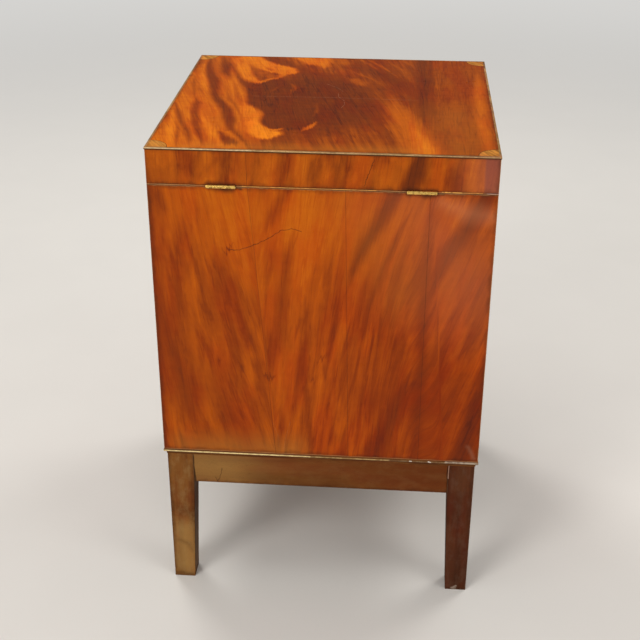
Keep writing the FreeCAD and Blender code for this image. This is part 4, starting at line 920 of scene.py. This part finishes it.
class CELLARETTE_OT_lid(PieceOperator, bpy.types.Operator):
    """Polish the lid: its flame veneers, pale string, satinwood fans and plain inside"""

    bl_idname = "cellarette.lid"
    bl_label = "Finish Lid"

    def make(self, colours):
        tones = mahogany(colours)
        self.make_top(tones)
        self.make_back(tones)
        self.make_sides(tones)
        self.make_inlays(colours)
        self.make_inside(colours)

    def make_top(self, tones):
        """The flame veneer of the top, with its figure."""
        top = polished_wood(
            "lid_top_flame_mahogany", TOP_FACE, LID_BOX, tones, LID_TOP_FIGURE, base_tone=0.40, flame=0.22,
            lean=((60, 0.30), (130, 0.20), (330, 0.24), (372, 0.0)), sway=0.0045, feather=0.006, blur=1.3,
            band=(0.008, 0.16), grain=0.14, fleck=0.10, veins=0.12, pores=0.2, grime=0.6, **TOP_POLISH,
            patches=(((0.33, 0.120, 0.018), 0.32, 75.0, ((404, 290, 10), (404, 440, 20))),
                     ((0.42, 0.150, 0.018), 0.38, 26.0, ((60, 446, 8), (340, 446, 10)))),
            worn=((SCRATCH, 0.25, 0.7, 0.50, ((112, 221), (230, 219), (352, 222))),
                  ((0.42, 0.25, 0.15), 0.30, 0.6, 0.32,
                   ((235, 196), (236, 214), (245, 232), (247, 252), (243, 268))),
                  (SCRATCH, 0.35, 0.7, 0.35, ((215, 150), (232, 168), (241, 186))),
                  (JOINT_SHADE_AND_DIRT, 0.45, 0.6, 0.40, ((60, 330), (140, 322), (190, 326)))))
        set_material(top, "lid_veneer_top")

    def make_back(self, tones):
        """The back rim's veneer, with the worn line of the joint below it, painted highlights and painted
        shade along that joint, and a painted sheen at the low end of X.
        """
        back = polished_wood(
            "lid_back_mahogany", LID_BACK_FACE, LID_BOX, tones, LID_BACK_FIGURE, base_tone=0.56, flame=0.36,
            lean=((0, 0.05), (200, -0.12)), feather=0.010, band=(0.026, 0.06), flame_offset=(0.3, 0.1, 0.0),
            cracks=(((297, 8), (289, 30), (285, 44)),),
            seams=(((131.5, 0), (132, 50)), ((0, 3.5), (458, 3.5))),
            # The first patch is a painted pinkish sheen at the low end of X.
            patches=(((0.520, 0.150, 0.080), 0.35, 40.0, ((440, 0, 20), (440, 52, 20))),
                     ((0.19, 0.060, 0.050), 0.60, 2.0, ((448, 2, 9), (448, 52, 9)))) + hinge_grime_and_shade(50),
            # Painted shade with dirt in the joint, worn edges with painted highlights along the rim's foot, a
            # painted highlight at the low end of X, and a worn corner with a painted highlight.
            worn=((JOINT_SHADE_AND_DIRT, 0.80, 0.2, 0.45, ((0, 49.0), (460, 49.0))),
                  (JOINT_WEAR_AND_HIGHLIGHT, 0.75, 0.7, 0.30, ((0, 50.1), (126, 50.1))),
                  (JOINT_GOLD_WEAR_AND_HIGHLIGHT, 0.90, 0.5, 0.40, ((126, 50.0), (300, 50.0))),
                  (JOINT_WEAR_AND_HIGHLIGHT, 0.75, 0.7, 0.30, ((300, 50.1), (385, 50.1))),
                  (JOINT_GOLD_WEAR_AND_HIGHLIGHT, 0.95, 0.7, 0.65, ((385, 49.7), (436, 49.7))),
                  ((0.62, 0.42, 0.34), 0.80, 0.3, 0.35, ((442, 50.0), (459, 50.0))),
                  (JOINT_WEAR_AND_HIGHLIGHT, 0.60, 0.4, 0.50, ((457, 4), (457, 48)))),
            **LID_WOOD)
        set_material(back, "lid_veneer_back")

    def make_sides(self, tones):
        """The other three rims' veneers, whose figure is free."""
        for side, face, offset in (
                ("front", FRONT_FACE, 1.7), ("left", LEFT_FACE, 2.9), ("right", RIGHT_FACE, 4.3)):
            lid_face = Face((face.corner.x, face.corner.y, LID_BOX[1].z), face.across, face.along)
            veneer = polished_wood(
                f"lid_{side}_mahogany", lid_face, LID_BOX, tones, base_tone=0.54, flame=0.42,
                lean=((0, 0.10), (200, -0.12)), band=(0.024, 0.08), flame_offset=(offset, 0.4, 0.0),
                seams=(((0, 3.6), (458, 3.6)),), **LID_WOOD)
            set_material(veneer, f"lid_veneer_{side}")

    def make_inlays(self, colours):
        """The pale string round the top's edge with a painted highlight and a painted shadow under it, and
        the fans at its corners with their dark lines.
        """
        string = polished_wood(
            "pale_edge_string", Face((0, 0, LID_BOX[1].z), (0, 0, -1), (-1, -1, 0)), LID_BOX,
            shades(colours.pale_string, (0.22, 0.6, 1.0, 1.35)), base_tone=0.46, flame=0.6,
            band=(0.003, 0.05), sway=0.0005, grime=0.2, roughness=0.42, depth=0.0, **TOP_POLISH,
            # A painted highlight along the string's upper arris, cream near the corner at the high ends of X
            # and Y and tan elsewhere, and a painted shadow line under the string.
            worn=(((0.86, 0.66, 0.38), 0.85, 0.35, 0.55, ((0.9, -900), (0.9, -330))),
                  ((0.60, 0.40, 0.20), 0.85, 0.50, 0.50, ((0.9, -330), (0.9, 900))),
                  ((0.040, 0.014, 0.006), 0.9, 0.1, 0.75, ((2.4, -900), (2.4, 900)))))
        set_material(string, "lid_edge_string")
        fan = polished_wood(
            "satinwood_fans", TOP_FACE, LID_BOX, shades(colours.satinwood, (0.25, 0.6, 1.0, 1.3)),
            base_tone=0.55, flame=0.7, band=(0.005, 0.05), lean=((0, 0.6),), grime=0.4, **TOP_POLISH)
        set_material(fan, "lid_corner_inlays")
        line = polished_wood(
            "dark_inlay_lines", TOP_FACE, LID_BOX, shades(colours.dirt, (0.7, 1.0, 1.6, 2.4)),
            base_tone=0.45, flame=0.6, grime=0.2, **TOP_POLISH)
        set_material(line, "lid_corner_lines")
        soften(0.35, "lid_edge_string")

    def make_inside(self, colours):
        """The plain board and rims under the veneers."""
        carcass = tuple(colours.carcass)
        set_material(plain_wood("lid_inside_wood", TOP_FACE, carcass, LID_BOX, dust=0.06), "lid_board")
        for way, across, along, sides in (("across", (0, 1, 0), (1, 0, 0), ("front", "back")),
                                          ("along", (1, 0, 0), (0, 1, 0), ("left", "right"))):
            rim = plain_wood(f"lid_rim_wood_{way}", Face((0, 0, 0.7), across, along), carcass)
            set_material(rim, *[f"lid_rim_{side}" for side in sides])
        soften(0.30, *all_round("lid_rim"))


class CELLARETTE_OT_case(PieceOperator, bpy.types.Operator):
    """Polish the case: its veneered faces, and the plain walls and bottom inside"""

    bl_idname = "cellarette.case"
    bl_label = "Finish Case"

    def make(self, colours):
        tones = darker_mahogany(colours)
        self.make_back(tones)
        self.make_sides(tones)
        self.make_inside(colours)

    def make_back(self, tones):
        """The back's four leaves of veneer, with their figure, joints and scratches."""
        back = polished_wood(
            "case_back_mahogany", BACK_FACE, CASE_BOX, tones, CASE_BACK_FIGURE, base_tone=0.52, flame=0.36,
            lean=((0, 0.12), (131, 0.22), (136, -0.10), (250, -0.16), (330, -0.30), (372, -0.24),
                  (376, -0.34)),
            crease=((133, 165), CASE_HEIGHT), band=(0.015, 0.10), fleck=0.15, veins=0.12, redden_and_shade=0.6,
            patches=(((0.300, 0.150, 0.030), 0.42, 26.0, ((30, 402, 10), (190, 404, 14))),
                     ((0.230, 0.026, 0.004), 0.42, 24.0, ((2, 60, 12), (4, 290, 14))),
                     ((0.160, 0.026, 0.004), 0.36, 24.0, ((330, 400, 10), (450, 400, 16))),
                     ((0.460, 0.140, 0.020), 0.25, 50.0, ((268, 20, 20), (330, 150, 30))),
                     ((0.260, 0.110, 0.060), 0.45, 4.0, ((440, 386, 2), (450, 404, 3))),
                     # This patch and the next are a painted pinkish sheen on the upper back toward the low
                     # end of X.
                     ((0.420, 0.115, 0.045), 0.45, 80.0, ((350, 10, 30), (430, 130, 60))),
                     ((0.500, 0.180, 0.080), 0.35, 14.0, ((384, 14, 4), (420, 24, 12), (450, 30, 10)))
                     ) + hinge_grime_and_shade(1) + (
                     # Painted shade with dark wax just past one end of each hinge.
                     (JOINT_SHADE_AND_DIRT, 0.80, 1.6, ((119, 0, 1.6), (123, 2, 2.4))),
                     (JOINT_SHADE_AND_DIRT, 0.80, 1.6, ((380, 0, 1.6), (386, 2, 2.0)))),
            # Painted shade with dirt in the joint at the top, a worn edge with a painted highlight below it,
            # and a worn corner with a painted highlight; then rubbed lines.
            worn=((JOINT_SHADE_AND_DIRT, 0.75, 0.2, 0.45, ((0, 0.4), (460, 0.4))),
                  (JOINT_WEAR_AND_HIGHLIGHT, 0.45, 0.8, 0.30, ((0, 1.2), (460, 1.2))),
                  (JOINT_WEAR_AND_HIGHLIGHT, 0.35, 0.7, 0.40, ((456.4, 4), (456.4, 408))),
                  (RUBBED, 0.40, 0.8, 0.30, ((160, 356), (168, 380), (170, 408))),
                  (RUBBED, 0.35, 0.8, 0.30, ((186, 356), (180, 380), (176, 404)))),
            seams=(((132.5, 0), (164.5, 411)), ((260.5, 0), (269.6, 411)), ((370.2, 0), (370.2, 411))),
            cracks=(((106, 90), (120, 89), (132, 85), (145, 79), (160, 70), (175, 60), (190, 56),
                     (203, 60)),),
            **CASE_WOOD)
        set_material(back, "case_veneer_back")

    def make_sides(self, tones):
        """The other three faces, each a pair of leaves opened like a book."""
        for side, face, offset, (fold_top, fold_foot) in (
                ("front", FRONT_FACE, 0.9, (215, 240)), ("left", LEFT_FACE, 2.2, (250, 225)),
                ("right", RIGHT_FACE, 3.4, (190, 215))):
            veneer = polished_wood(
                f"case_{side}_mahogany", face, CASE_BOX, tones, base_tone=0.51, flame=0.40,
                lean=((0, 0.14), (fold_top - 3, 0.32), (fold_top + 3, -0.30), (457, -0.16)),
                crease=((fold_top, fold_foot), CASE_HEIGHT), band=(0.018, 0.13), fleck=0.17, veins=0.14,
                flame_offset=(offset, offset, 0.0), redden_and_shade=0.4, **CASE_WOOD)
            set_material(veneer, f"case_veneer_{side}")

    def make_inside(self, colours):
        """The plain walls under the veneers, and the bottom."""
        carcass = tuple(colours.carcass)
        for way, along, sides in (
                ("across", (1, 0, 0), ("front", "back")), ("along", (0, 1, 0), ("left", "right"))):
            wall = plain_wood(f"case_wall_wood_{way}", Face((0, 0, 0.6), (0, 0, 1), along), carcass)
            set_material(wall, *[f"case_wall_{side}" for side in sides])
        bottom = plain_wood("case_bottom_wood", Face((0, 0, 0.25), (0, 1, 0), (1, 0, 0)), carcass, dust=0.25)
        set_material(bottom, "case_bottom")
        soften(0.30, *all_round("case_wall"))


class CELLARETTE_OT_dividers(PieceOperator, bpy.types.Operator):
    """Finish the egg crate of thin dividers for the bottles"""

    bl_idname = "cellarette.dividers"
    bl_label = "Finish Dividers"

    def make(self, colours):
        for number in (1, 2, 3):
            for way, along in (("across", (1, 0, 0)), ("front_to_back", (0, 1, 0))):
                name = f"divider_{way}_{number}"
                face = Face((0.31 * number, 0.17 * number, 0.0), (0, 0, 1), along)
                wood = plain_wood(f"{name}_wood", face, tuple(colours.divider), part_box(name), dust=0.12)
                set_material(wood, name)
                soften(0.60, name)


# Faded, stained and worn places of the stand, and painted light and shade on it: colour, strength, softness
# in mm, and points (across, along, half width) in mm from the outer top corner of a leg, or from the top and
# the high end of a rail.
FADED_AND_LIT = (0.385, 0.215, 0.066)
STAINED = (0.060, 0.018, 0.005)
BLACKENED_AND_SHADOW = (0.022, 0.012, 0.008)
PALE_FOOT = (0.42, 0.33, 0.26)
KNOCKED = (0.86, 0.78, 0.66)
LEG_PATCHES = {
    "leg_back_right": (
        # Lighter over the lower leg: faded wood with painted light.
        (FADED_AND_LIT, 0.75, 26.0, ((18, 150, 10), (18, 215, 14))),
        (STAINED, 0.45, 12.0, ((8, 108, 4), (26, 116, 6))),
        (STAINED, 0.40, 6.0, ((6, 168, 1), (24, 176, 3), (30, 190, 1))),
        (STAINED, 0.45, 9.0, ((36, 60, 2), (37, 130, 3))),
        (STAINED, 0.45, 3.0, ((0, 232, 2), (40, 236, 3)))),
    "leg_back_left": (
        (BLACKENED_AND_SHADOW, 0.40, 26.0, ((20, 170, 10), (18, 215, 18))),
        ((0.150, 0.058, 0.024), 0.40, 14.0, ((16, 16, 6), (18, 50, 6))),
        (PALE_FOOT, 0.70, 1.6, ((15, 232, 1.2), (21, 236, 2.0), (17, 236, 2.4)))),
}
# Pale lines along the legs' arrises: worn edges with painted highlights.
LEG_WEAR_AND_HIGHLIGHTS = {
    "leg_back_right": (((0.34, 0.23, 0.12), 0.5, 0.8, 0.5, ((35.5, 150), (33, 236))),),
    "leg_back_left": (
        ((0.42, 0.24, 0.17), 0.8, 0.2, 0.6, ((37.3, 10), (37.3, 33))),
        ((0.25, 0.14, 0.09), 0.5, 0.8, 0.5, ((0.6, 12), (0.6, 236)))),
}
RAIL_PATCHES = (
    # Lighter at the first end and darker toward the far end: faded and darker wood, and on the back rail also
    # painted light toward the high end of X and painted shade toward the low end.
    (FADED_AND_LIT, 0.55, 70.0, ((30, 10, 30), (30, 66, 30))),
    ((0.113, 0.026, 0.006), 0.95, 130.0, ((30, 290, 40), (30, 430, 90))),
    (STAINED, 0.45, 24.0, ((50, 110, 8), (56, 230, 10))),
    # These two dark lines are painted shade on the rail beside the legs, which stand proud of it.
    (BLACKENED_AND_SHADOW, 0.85, 0.8, ((2, 20, 0.4), (60, 20.5, 1.8))),
    (BLACKENED_AND_SHADOW, 0.80, 0.8, ((2, 394, 0.6), (60, 394, 0.8))),
)
BACK_RAIL_CRACKS = (((34, 62), (45, 60), (58, 55)), ((50, 52), (57, 55)))
# Lines along a moulding, in mm down from its top: the worn bead with a painted highlight that fades along its
# length, a painted shadow line under the bead, and a pale lower edge with a painted highlight.
MOULDING_WEAR_HIGHLIGHTS_AND_SHADOW = (
    ((0.52, 0.36, 0.15), 0.90, 0.50, 1.0, ((3.2, 215), (3.2, 330))),
    ((0.25, 0.17, 0.085), 0.85, 0.60, 1.1, ((3.2, 330), (3.2, 470))),
    (BLACKENED_AND_SHADOW, 0.60, 0.4, 0.50, ((6.2, -5), (6.2, 470))),
    ((0.32, 0.18, 0.09), 0.50, 0.7, 0.40, ((9.4, 120), (9.4, 470))),
)
BACK_MOULDING_KNOCKS = (
    (KNOCKED, 0.95, 0.2, 0.8, ((3.0, 360), (3.0, 362.5))),
    (KNOCKED, 0.95, 0.2, 0.9, ((2.6, 387), (3.6, 390))),
    ((0.50, 0.42, 0.33), 0.70, 0.5, 1.4, ((2.4, 412), (2.4, 462))),
)

# Size of a back leg's inner side at the top and at the foot, and the length of its square top, in metres.
LEG_TAPER = (0.038, 0.0315, 0.060)

# The way along each rail and moulding, from its first end.
RAIL_WAYS = (("back", (-1, 0, 0)), ("front", (1, 0, 0)), ("left", (0, 1, 0)), ("right", (0, -1, 0)))


class CELLARETTE_OT_stand(PieceOperator, bpy.types.Operator):
    """Finish the stand: worn legs, rails, the bead round its top, and the blocks behind"""

    bl_idname = "cellarette.stand"
    bl_label = "Finish Stand"

    def make(self, colours):
        dark, light = Vector(colours.stand_dark), Vector(colours.stand_light)
        aged = (tuple(dark * 0.7), tuple(dark * 1.5 + light * 0.2), tuple(light), tuple(light * 1.4))
        self.make_legs(aged)
        for side, way in RAIL_WAYS:
            self.make_rail(side, way, aged)
            self.make_moulding(side, way, aged)
        blocks = plain_wood(
            "corner_block_wood", Face((0, 0, 0), (1, 0, 0), (0, 0, 1)), tuple(colours.carcass), stains=0.6)
        set_material(blocks, "corner_blocks")

    def make_legs(self, aged):
        """The legs: faded and lighter at the high end of X, ruddy and darker at the low end, partly painted
        light and shade.
        """
        # The ruddy tones and bloom of the legs at the low end of X are darker, partly painted shade, and the
        # faded bloom at the high end is lighter, partly painted light.
        ruddy = ((0.024, 0.008, 0.003), (0.052, 0.014, 0.005), (0.102, 0.029, 0.011), (0.19, 0.068, 0.026))
        faded_and_lit_bloom, ruddy_bloom = ((0.30, 0.20, 0.08), 0.24), ((0.11, 0.060, 0.038), 0.30)
        for name, base_tone, tones, bloom in (
                ("leg_back_right", 0.56, aged, faded_and_lit_bloom), ("leg_back_left", 0.54, ruddy, ruddy_bloom),
                ("leg_front_right", 0.40, aged, faded_and_lit_bloom), ("leg_front_left", 0.66, ruddy, ruddy_bloom)):
            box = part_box(name)
            face = Face((box[1].x, box[1].y, box[1].z), (-1, 0, 0), (0, 0, -1))
            if name == "leg_back_left":
                face = Face((box[0].x, box[1].y, box[1].z), (1, 0, 0), (0, 0, -1))
            leg = polished_wood(
                f"{name}_mahogany", face, box, tones, base_tone=base_tone, flame=0.26, band=(0.014, 0.16),
                flame_offset=(base_tone * 9, 0.2, 0.0), sway=0.003, feather=0.004, grain=0.10,
                roughness=0.50, edge_tone=(0.20, 0.11, 0.055), bloom=bloom,
                inner=LEG_TAPER if "back" in name else None,
                patches=LEG_PATCHES.get(name, ()), worn=LEG_WEAR_AND_HIGHLIGHTS.get(name, ()), **STAND_WOOD)
            set_material(leg, name)
            soften(0.9, name, segments=3)

    def make_rail(self, side, way, aged):
        """One rail, with its stains counted from its first end."""
        name = f"rail_{side}"
        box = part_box(name)
        corner = Vector([box[1][i] if way[i] < 0 else box[0][i] for i in range(3)])
        corner.z = box[1].z
        rail = polished_wood(
            f"{name}_mahogany", Face(corner, (0, 0, -1), way), box, aged, base_tone=0.54, flame=0.14,
            band=(0.020, 0.25), flame_offset=(1.3, 2.1, 0.0), sway=0.002, feather=0.003, grain=0.08,
            roughness=0.48, edge_tone=(0.18, 0.10, 0.05), bloom=((0.20, 0.100, 0.035), 0.16),
            patches=RAIL_PATCHES, cracks=BACK_RAIL_CRACKS if side == "back" else (), **STAND_WOOD)
        set_material(rail, name)
        soften(0.5, name)

    def make_moulding(self, side, way, aged):
        """One length of moulding, whose bead is worn pale and painted with a highlight and with a shadow line
        under it.
        """
        name = f"stand_moulding_{side}"
        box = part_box(name)
        near = box[0] if side in ("front", "left") else box[1]
        # The painted highlight over the bead's wear: bright on the back, dull on the other sides.
        bright = (0.92, 0.72, 0.34) if side == "back" else (0.46, 0.33, 0.18)
        worn = ((bright, 1.0, 0.35, 1.1, ((3.2, -5), (3.2, 215))),) + MOULDING_WEAR_HIGHLIGHTS_AND_SHADOW
        if side == "back":
            worn += BACK_MOULDING_KNOCKS
        moulding = polished_wood(
            f"{name}_worn", Face((near.x, near.y, box[1].z), (0, 0, -1), way), box, aged, base_tone=0.48,
            flame=0.3, band=(0.010, 0.10), sway=0.0004, feather=0.001, grain=0.14, roughness=0.42,
            gloss=(1.10, 0.03), grime=0.3, arris=0.0, worn=worn, solid=True)
        set_material(moulding, name)
        soften(0.2, name)


class CELLARETTE_OT_hinges(PieceOperator, bpy.types.Operator):
    """Finish the brass butt hinges and their screws"""

    bl_idname = "cellarette.hinges"
    bl_label = "Finish Hinges"

    def make(self, colours):
        brass = aged_metal(
            "hinge_brass", tuple(colours.brass), (0.10, 0.045, 0.012), patch=2.6, roughness=0.20, dull=0.85)
        for side in ("left", "right"):
            leaves = (f"hinge_{side}_case_leaf", f"hinge_{side}_lid_leaf")
            set_material(brass, *leaves, f"hinge_{side}_pin")
            soften(0.12, *leaves)
        screws = aged_metal("hinge_screw_brass", tuple(colours.brass), (0.18, 0.10, 0.04), patch=2.0)
        set_material(screws, "hinge_screws_case", "hinge_screws_lid")


class CELLARETTE_OT_lock(PieceOperator, bpy.types.Operator):
    """Finish the lock, its link plate, screws, escutcheon and key"""

    bl_idname = "cellarette.lock"
    bl_label = "Finish Lock"

    def make(self, colours):
        brass, steel = tuple(colours.brass), tuple(colours.steel)
        plates = aged_metal("lock_brass", brass, (0.20, 0.11, 0.04), patch=6.0)
        set_material(plates, "lock_plate", "lock_cap", "lock_bolt", "link_plate", "keyhole_escutcheon")
        key = aged_metal("key_steel_worn", steel, (0.10, 0.06, 0.04), patch=5.0, roughness=0.4)
        set_material(key, "key", "lock_spring")
        screws = aged_metal("steel_screw_heads", steel, (0.12, 0.06, 0.03), patch=2.0, roughness=0.45)
        set_material(screws, "lock_screws", "link_plate_screws", "case_to_stand_screws")


# Each lamp: name, place, size, share of the main lamp's power, and whether polish reflects it.
LAMPS = (
    ("lamp_main", (1.6, 2.4, 2.0), 1.3, 1.0, True),
    ("lamp_fill", (-2.3, 1.7, 1.4), 1.6, 0.50, True),
    ("lamp_lock_side", (1.5, -1.9, 2.9), 1.3, 0.95, False),
    ("lamp_lock_fill", (-1.8, -1.6, 2.7), 1.3, 0.75, False),
    ("lamp_above", (0.3, 0.6, 3.1), 1.4, 0.30, False),
)
LAMP_AIM = (0.0, 0.0, 0.40)
LAMP_COLOUR = (1.0, 0.97, 0.93)
ROOM_COLOUR = (1.0, 0.98, 0.95)


def is_seen(maker):
    """1 where the camera, a reflection or a clear surface sees a place, and 0 where only light reaches it."""
    path = maker.node("ShaderNodeLightPath").outputs
    mirrored = maker.math("MAXIMUM", path["Is Glossy Ray"], path["Is Transmission Ray"])
    return maker.math("MAXIMUM", path["Is Camera Ray"], mirrored)


class CELLARETTE_OT_studio(bpy.types.Operator):
    """Set up the floor, the lamps, the even room light and the camera"""

    bl_idname = "cellarette.studio"
    bl_label = "Set Up Studio"

    def execute(self, context):
        studio = context.scene.cellarette_studio
        self.make_floor(context.scene, studio)
        self.make_world(context.scene, studio)
        self.make_lamps(context.scene, studio)
        self.make_camera(context.scene, studio)
        context.scene.view_settings.view_transform = "Standard"
        return {"FINISHED"}

    def make_floor(self, scene, studio):
        """A round pale floor that fades into the background far from the piece."""
        steps = 96
        angles = [2 * math.pi * i / steps for i in range(steps)]
        radius = studio.floor_radius
        points = [(0.0, 0.0, 0.0)] + [
            (radius * math.cos(angle), radius * math.sin(angle), 0.0) for angle in angles]
        faces = [(0, 1 + i, 1 + (i + 1) % steps) for i in range(steps)]
        mesh = bpy.data.meshes.new("studio_floor")
        mesh.from_pydata(points, [], faces)
        floor = bpy.data.objects.new("studio_floor", mesh)
        scene.collection.objects.link(floor)
        material, maker, shader = new_material("studio_floor")
        place = maker.node("ShaderNodeTexCoord").outputs["Object"]
        cloud = maker.noise(place, detail=4.0, scale=6.0)
        speck = maker.noise(place, detail=2.0, scale=220.0)
        plain, clouded, specked = shades(studio.floor_colour, (1.0, 0.97, 0.9))
        shade = maker.tint(maker.span(cloud, 0.3, 0.7, 0.0, 0.5), plain, clouded)
        shade = maker.tint(maker.span(speck, 0.55, 0.8, 0.0, 0.2), shade, specked)
        maker.feed(shader.inputs["Base Color"], shade)
        shader.inputs["Roughness"].default_value = 0.7
        shader.inputs["Specular IOR Level"].default_value = 0.2
        far = maker.math("MULTIPLY", maker.span(maker.vector("LENGTH", place), 1.2, 4.2), is_seen(maker))
        glow = maker.node("ShaderNodeEmission", {"Color": tuple(studio.backdrop_colour), "Strength": 1.0})
        mixed = maker.node("ShaderNodeMixShader", {0: far, 1: shader.outputs[0], 2: glow.outputs[0]})
        output = next(node for node in material.node_tree.nodes if node.type == "OUTPUT_MATERIAL")
        maker.feed(output.inputs["Surface"], mixed.outputs[0])
        mesh.materials.append(material)

    def make_world(self, scene, studio):
        """Even room light, and the pale background that the camera and polished surfaces see."""
        world = bpy.data.worlds.new("studio")
        world.use_nodes = True
        world.node_tree.nodes.clear()
        maker = Maker(world.node_tree)
        room = maker.node("ShaderNodeBackground", {"Color": ROOM_COLOUR, "Strength": studio.room_light})
        view = maker.node("ShaderNodeBackground", {"Color": tuple(studio.backdrop_colour), "Strength": 1.0})
        mixed = maker.node("ShaderNodeMixShader", {0: is_seen(maker), 1: room.outputs[0], 2: view.outputs[0]})
        maker.node("ShaderNodeOutputWorld", {"Surface": mixed.outputs[0]})
        scene.world = world

    def make_lamps(self, scene, studio):
        """Large soft lamps on every side, the main one high on the hinge side."""
        for name, place, size, share, glossy in LAMPS:
            light = bpy.data.lights.new(name, "AREA")
            light.shape = "DISK"
            light.size = size
            light.energy = studio.lamp_power * share
            light.color = LAMP_COLOUR
            lamp = bpy.data.objects.new(name, light)
            lamp.visible_glossy = glossy
            lamp.location = place
            lamp.rotation_euler = (Vector(LAMP_AIM) - Vector(place)).to_track_quat("-Z", "Y").to_euler()
            scene.collection.objects.link(lamp)

    def make_camera(self, scene, studio):
        """The camera that looks at the hinge side from above."""
        data = bpy.data.cameras.new("camera")
        data.lens = studio.lens
        data.sensor_width = 36.0
        camera = bpy.data.objects.new("camera", data)
        turn = Vector(studio.camera_aim).to_track_quat("-Z", "Y").to_matrix().to_4x4()
        camera.matrix_world = (
            Matrix.Translation(studio.camera_place) @ turn @ Matrix.Rotation(studio.camera_roll, 4, "Z"))
        scene.collection.objects.link(camera)
        scene.camera = camera


OPERATORS = (
    CELLARETTE_OT_lid, CELLARETTE_OT_case, CELLARETTE_OT_dividers, CELLARETTE_OT_stand,
    CELLARETTE_OT_hinges, CELLARETTE_OT_lock, CELLARETTE_OT_studio,
)


class CELLARETTE_PT_sidebar(bpy.types.Panel):
    """Lists the steps and values of the cellarette"""

    bl_idname = "CELLARETTE_PT_sidebar"
    bl_label = "Cellarette"
    bl_space_type = "VIEW_3D"
    bl_region_type = "UI"
    bl_category = "Cellarette"

    def draw(self, context):
        column = self.layout.column()
        for operator in OPERATORS:
            column.operator(operator.bl_idname)
        for settings in ("cellarette_colours", "cellarette_surface", "cellarette_studio"):
            group = getattr(context.scene, settings)
            for name in type(group).__annotations__:
                column.prop(group, name)


CLASSES = (CellaretteColours, CellaretteSurface, CellaretteStudio) + OPERATORS + (CELLARETTE_PT_sidebar,)


def register():
    """Registers the classes and their values."""
    for cls in CLASSES:
        bpy.utils.register_class(cls)
    bpy.types.Scene.cellarette_colours = PointerProperty(type=CellaretteColours)
    bpy.types.Scene.cellarette_surface = PointerProperty(type=CellaretteSurface)
    bpy.types.Scene.cellarette_studio = PointerProperty(type=CellaretteStudio)


def unregister():
    """Takes the classes and their values out again."""
    for name in ("cellarette_studio", "cellarette_surface", "cellarette_colours"):
        delattr(bpy.types.Scene, name)
    for cls in reversed(CLASSES):
        bpy.utils.unregister_class(cls)


def main():
    """Finishes every piece and sets up the studio."""
    register()
    for operator in OPERATORS:
        group, name = operator.bl_idname.split(".")
        getattr(getattr(bpy.ops, group), name)()


if __name__ == "__main__":
    main()
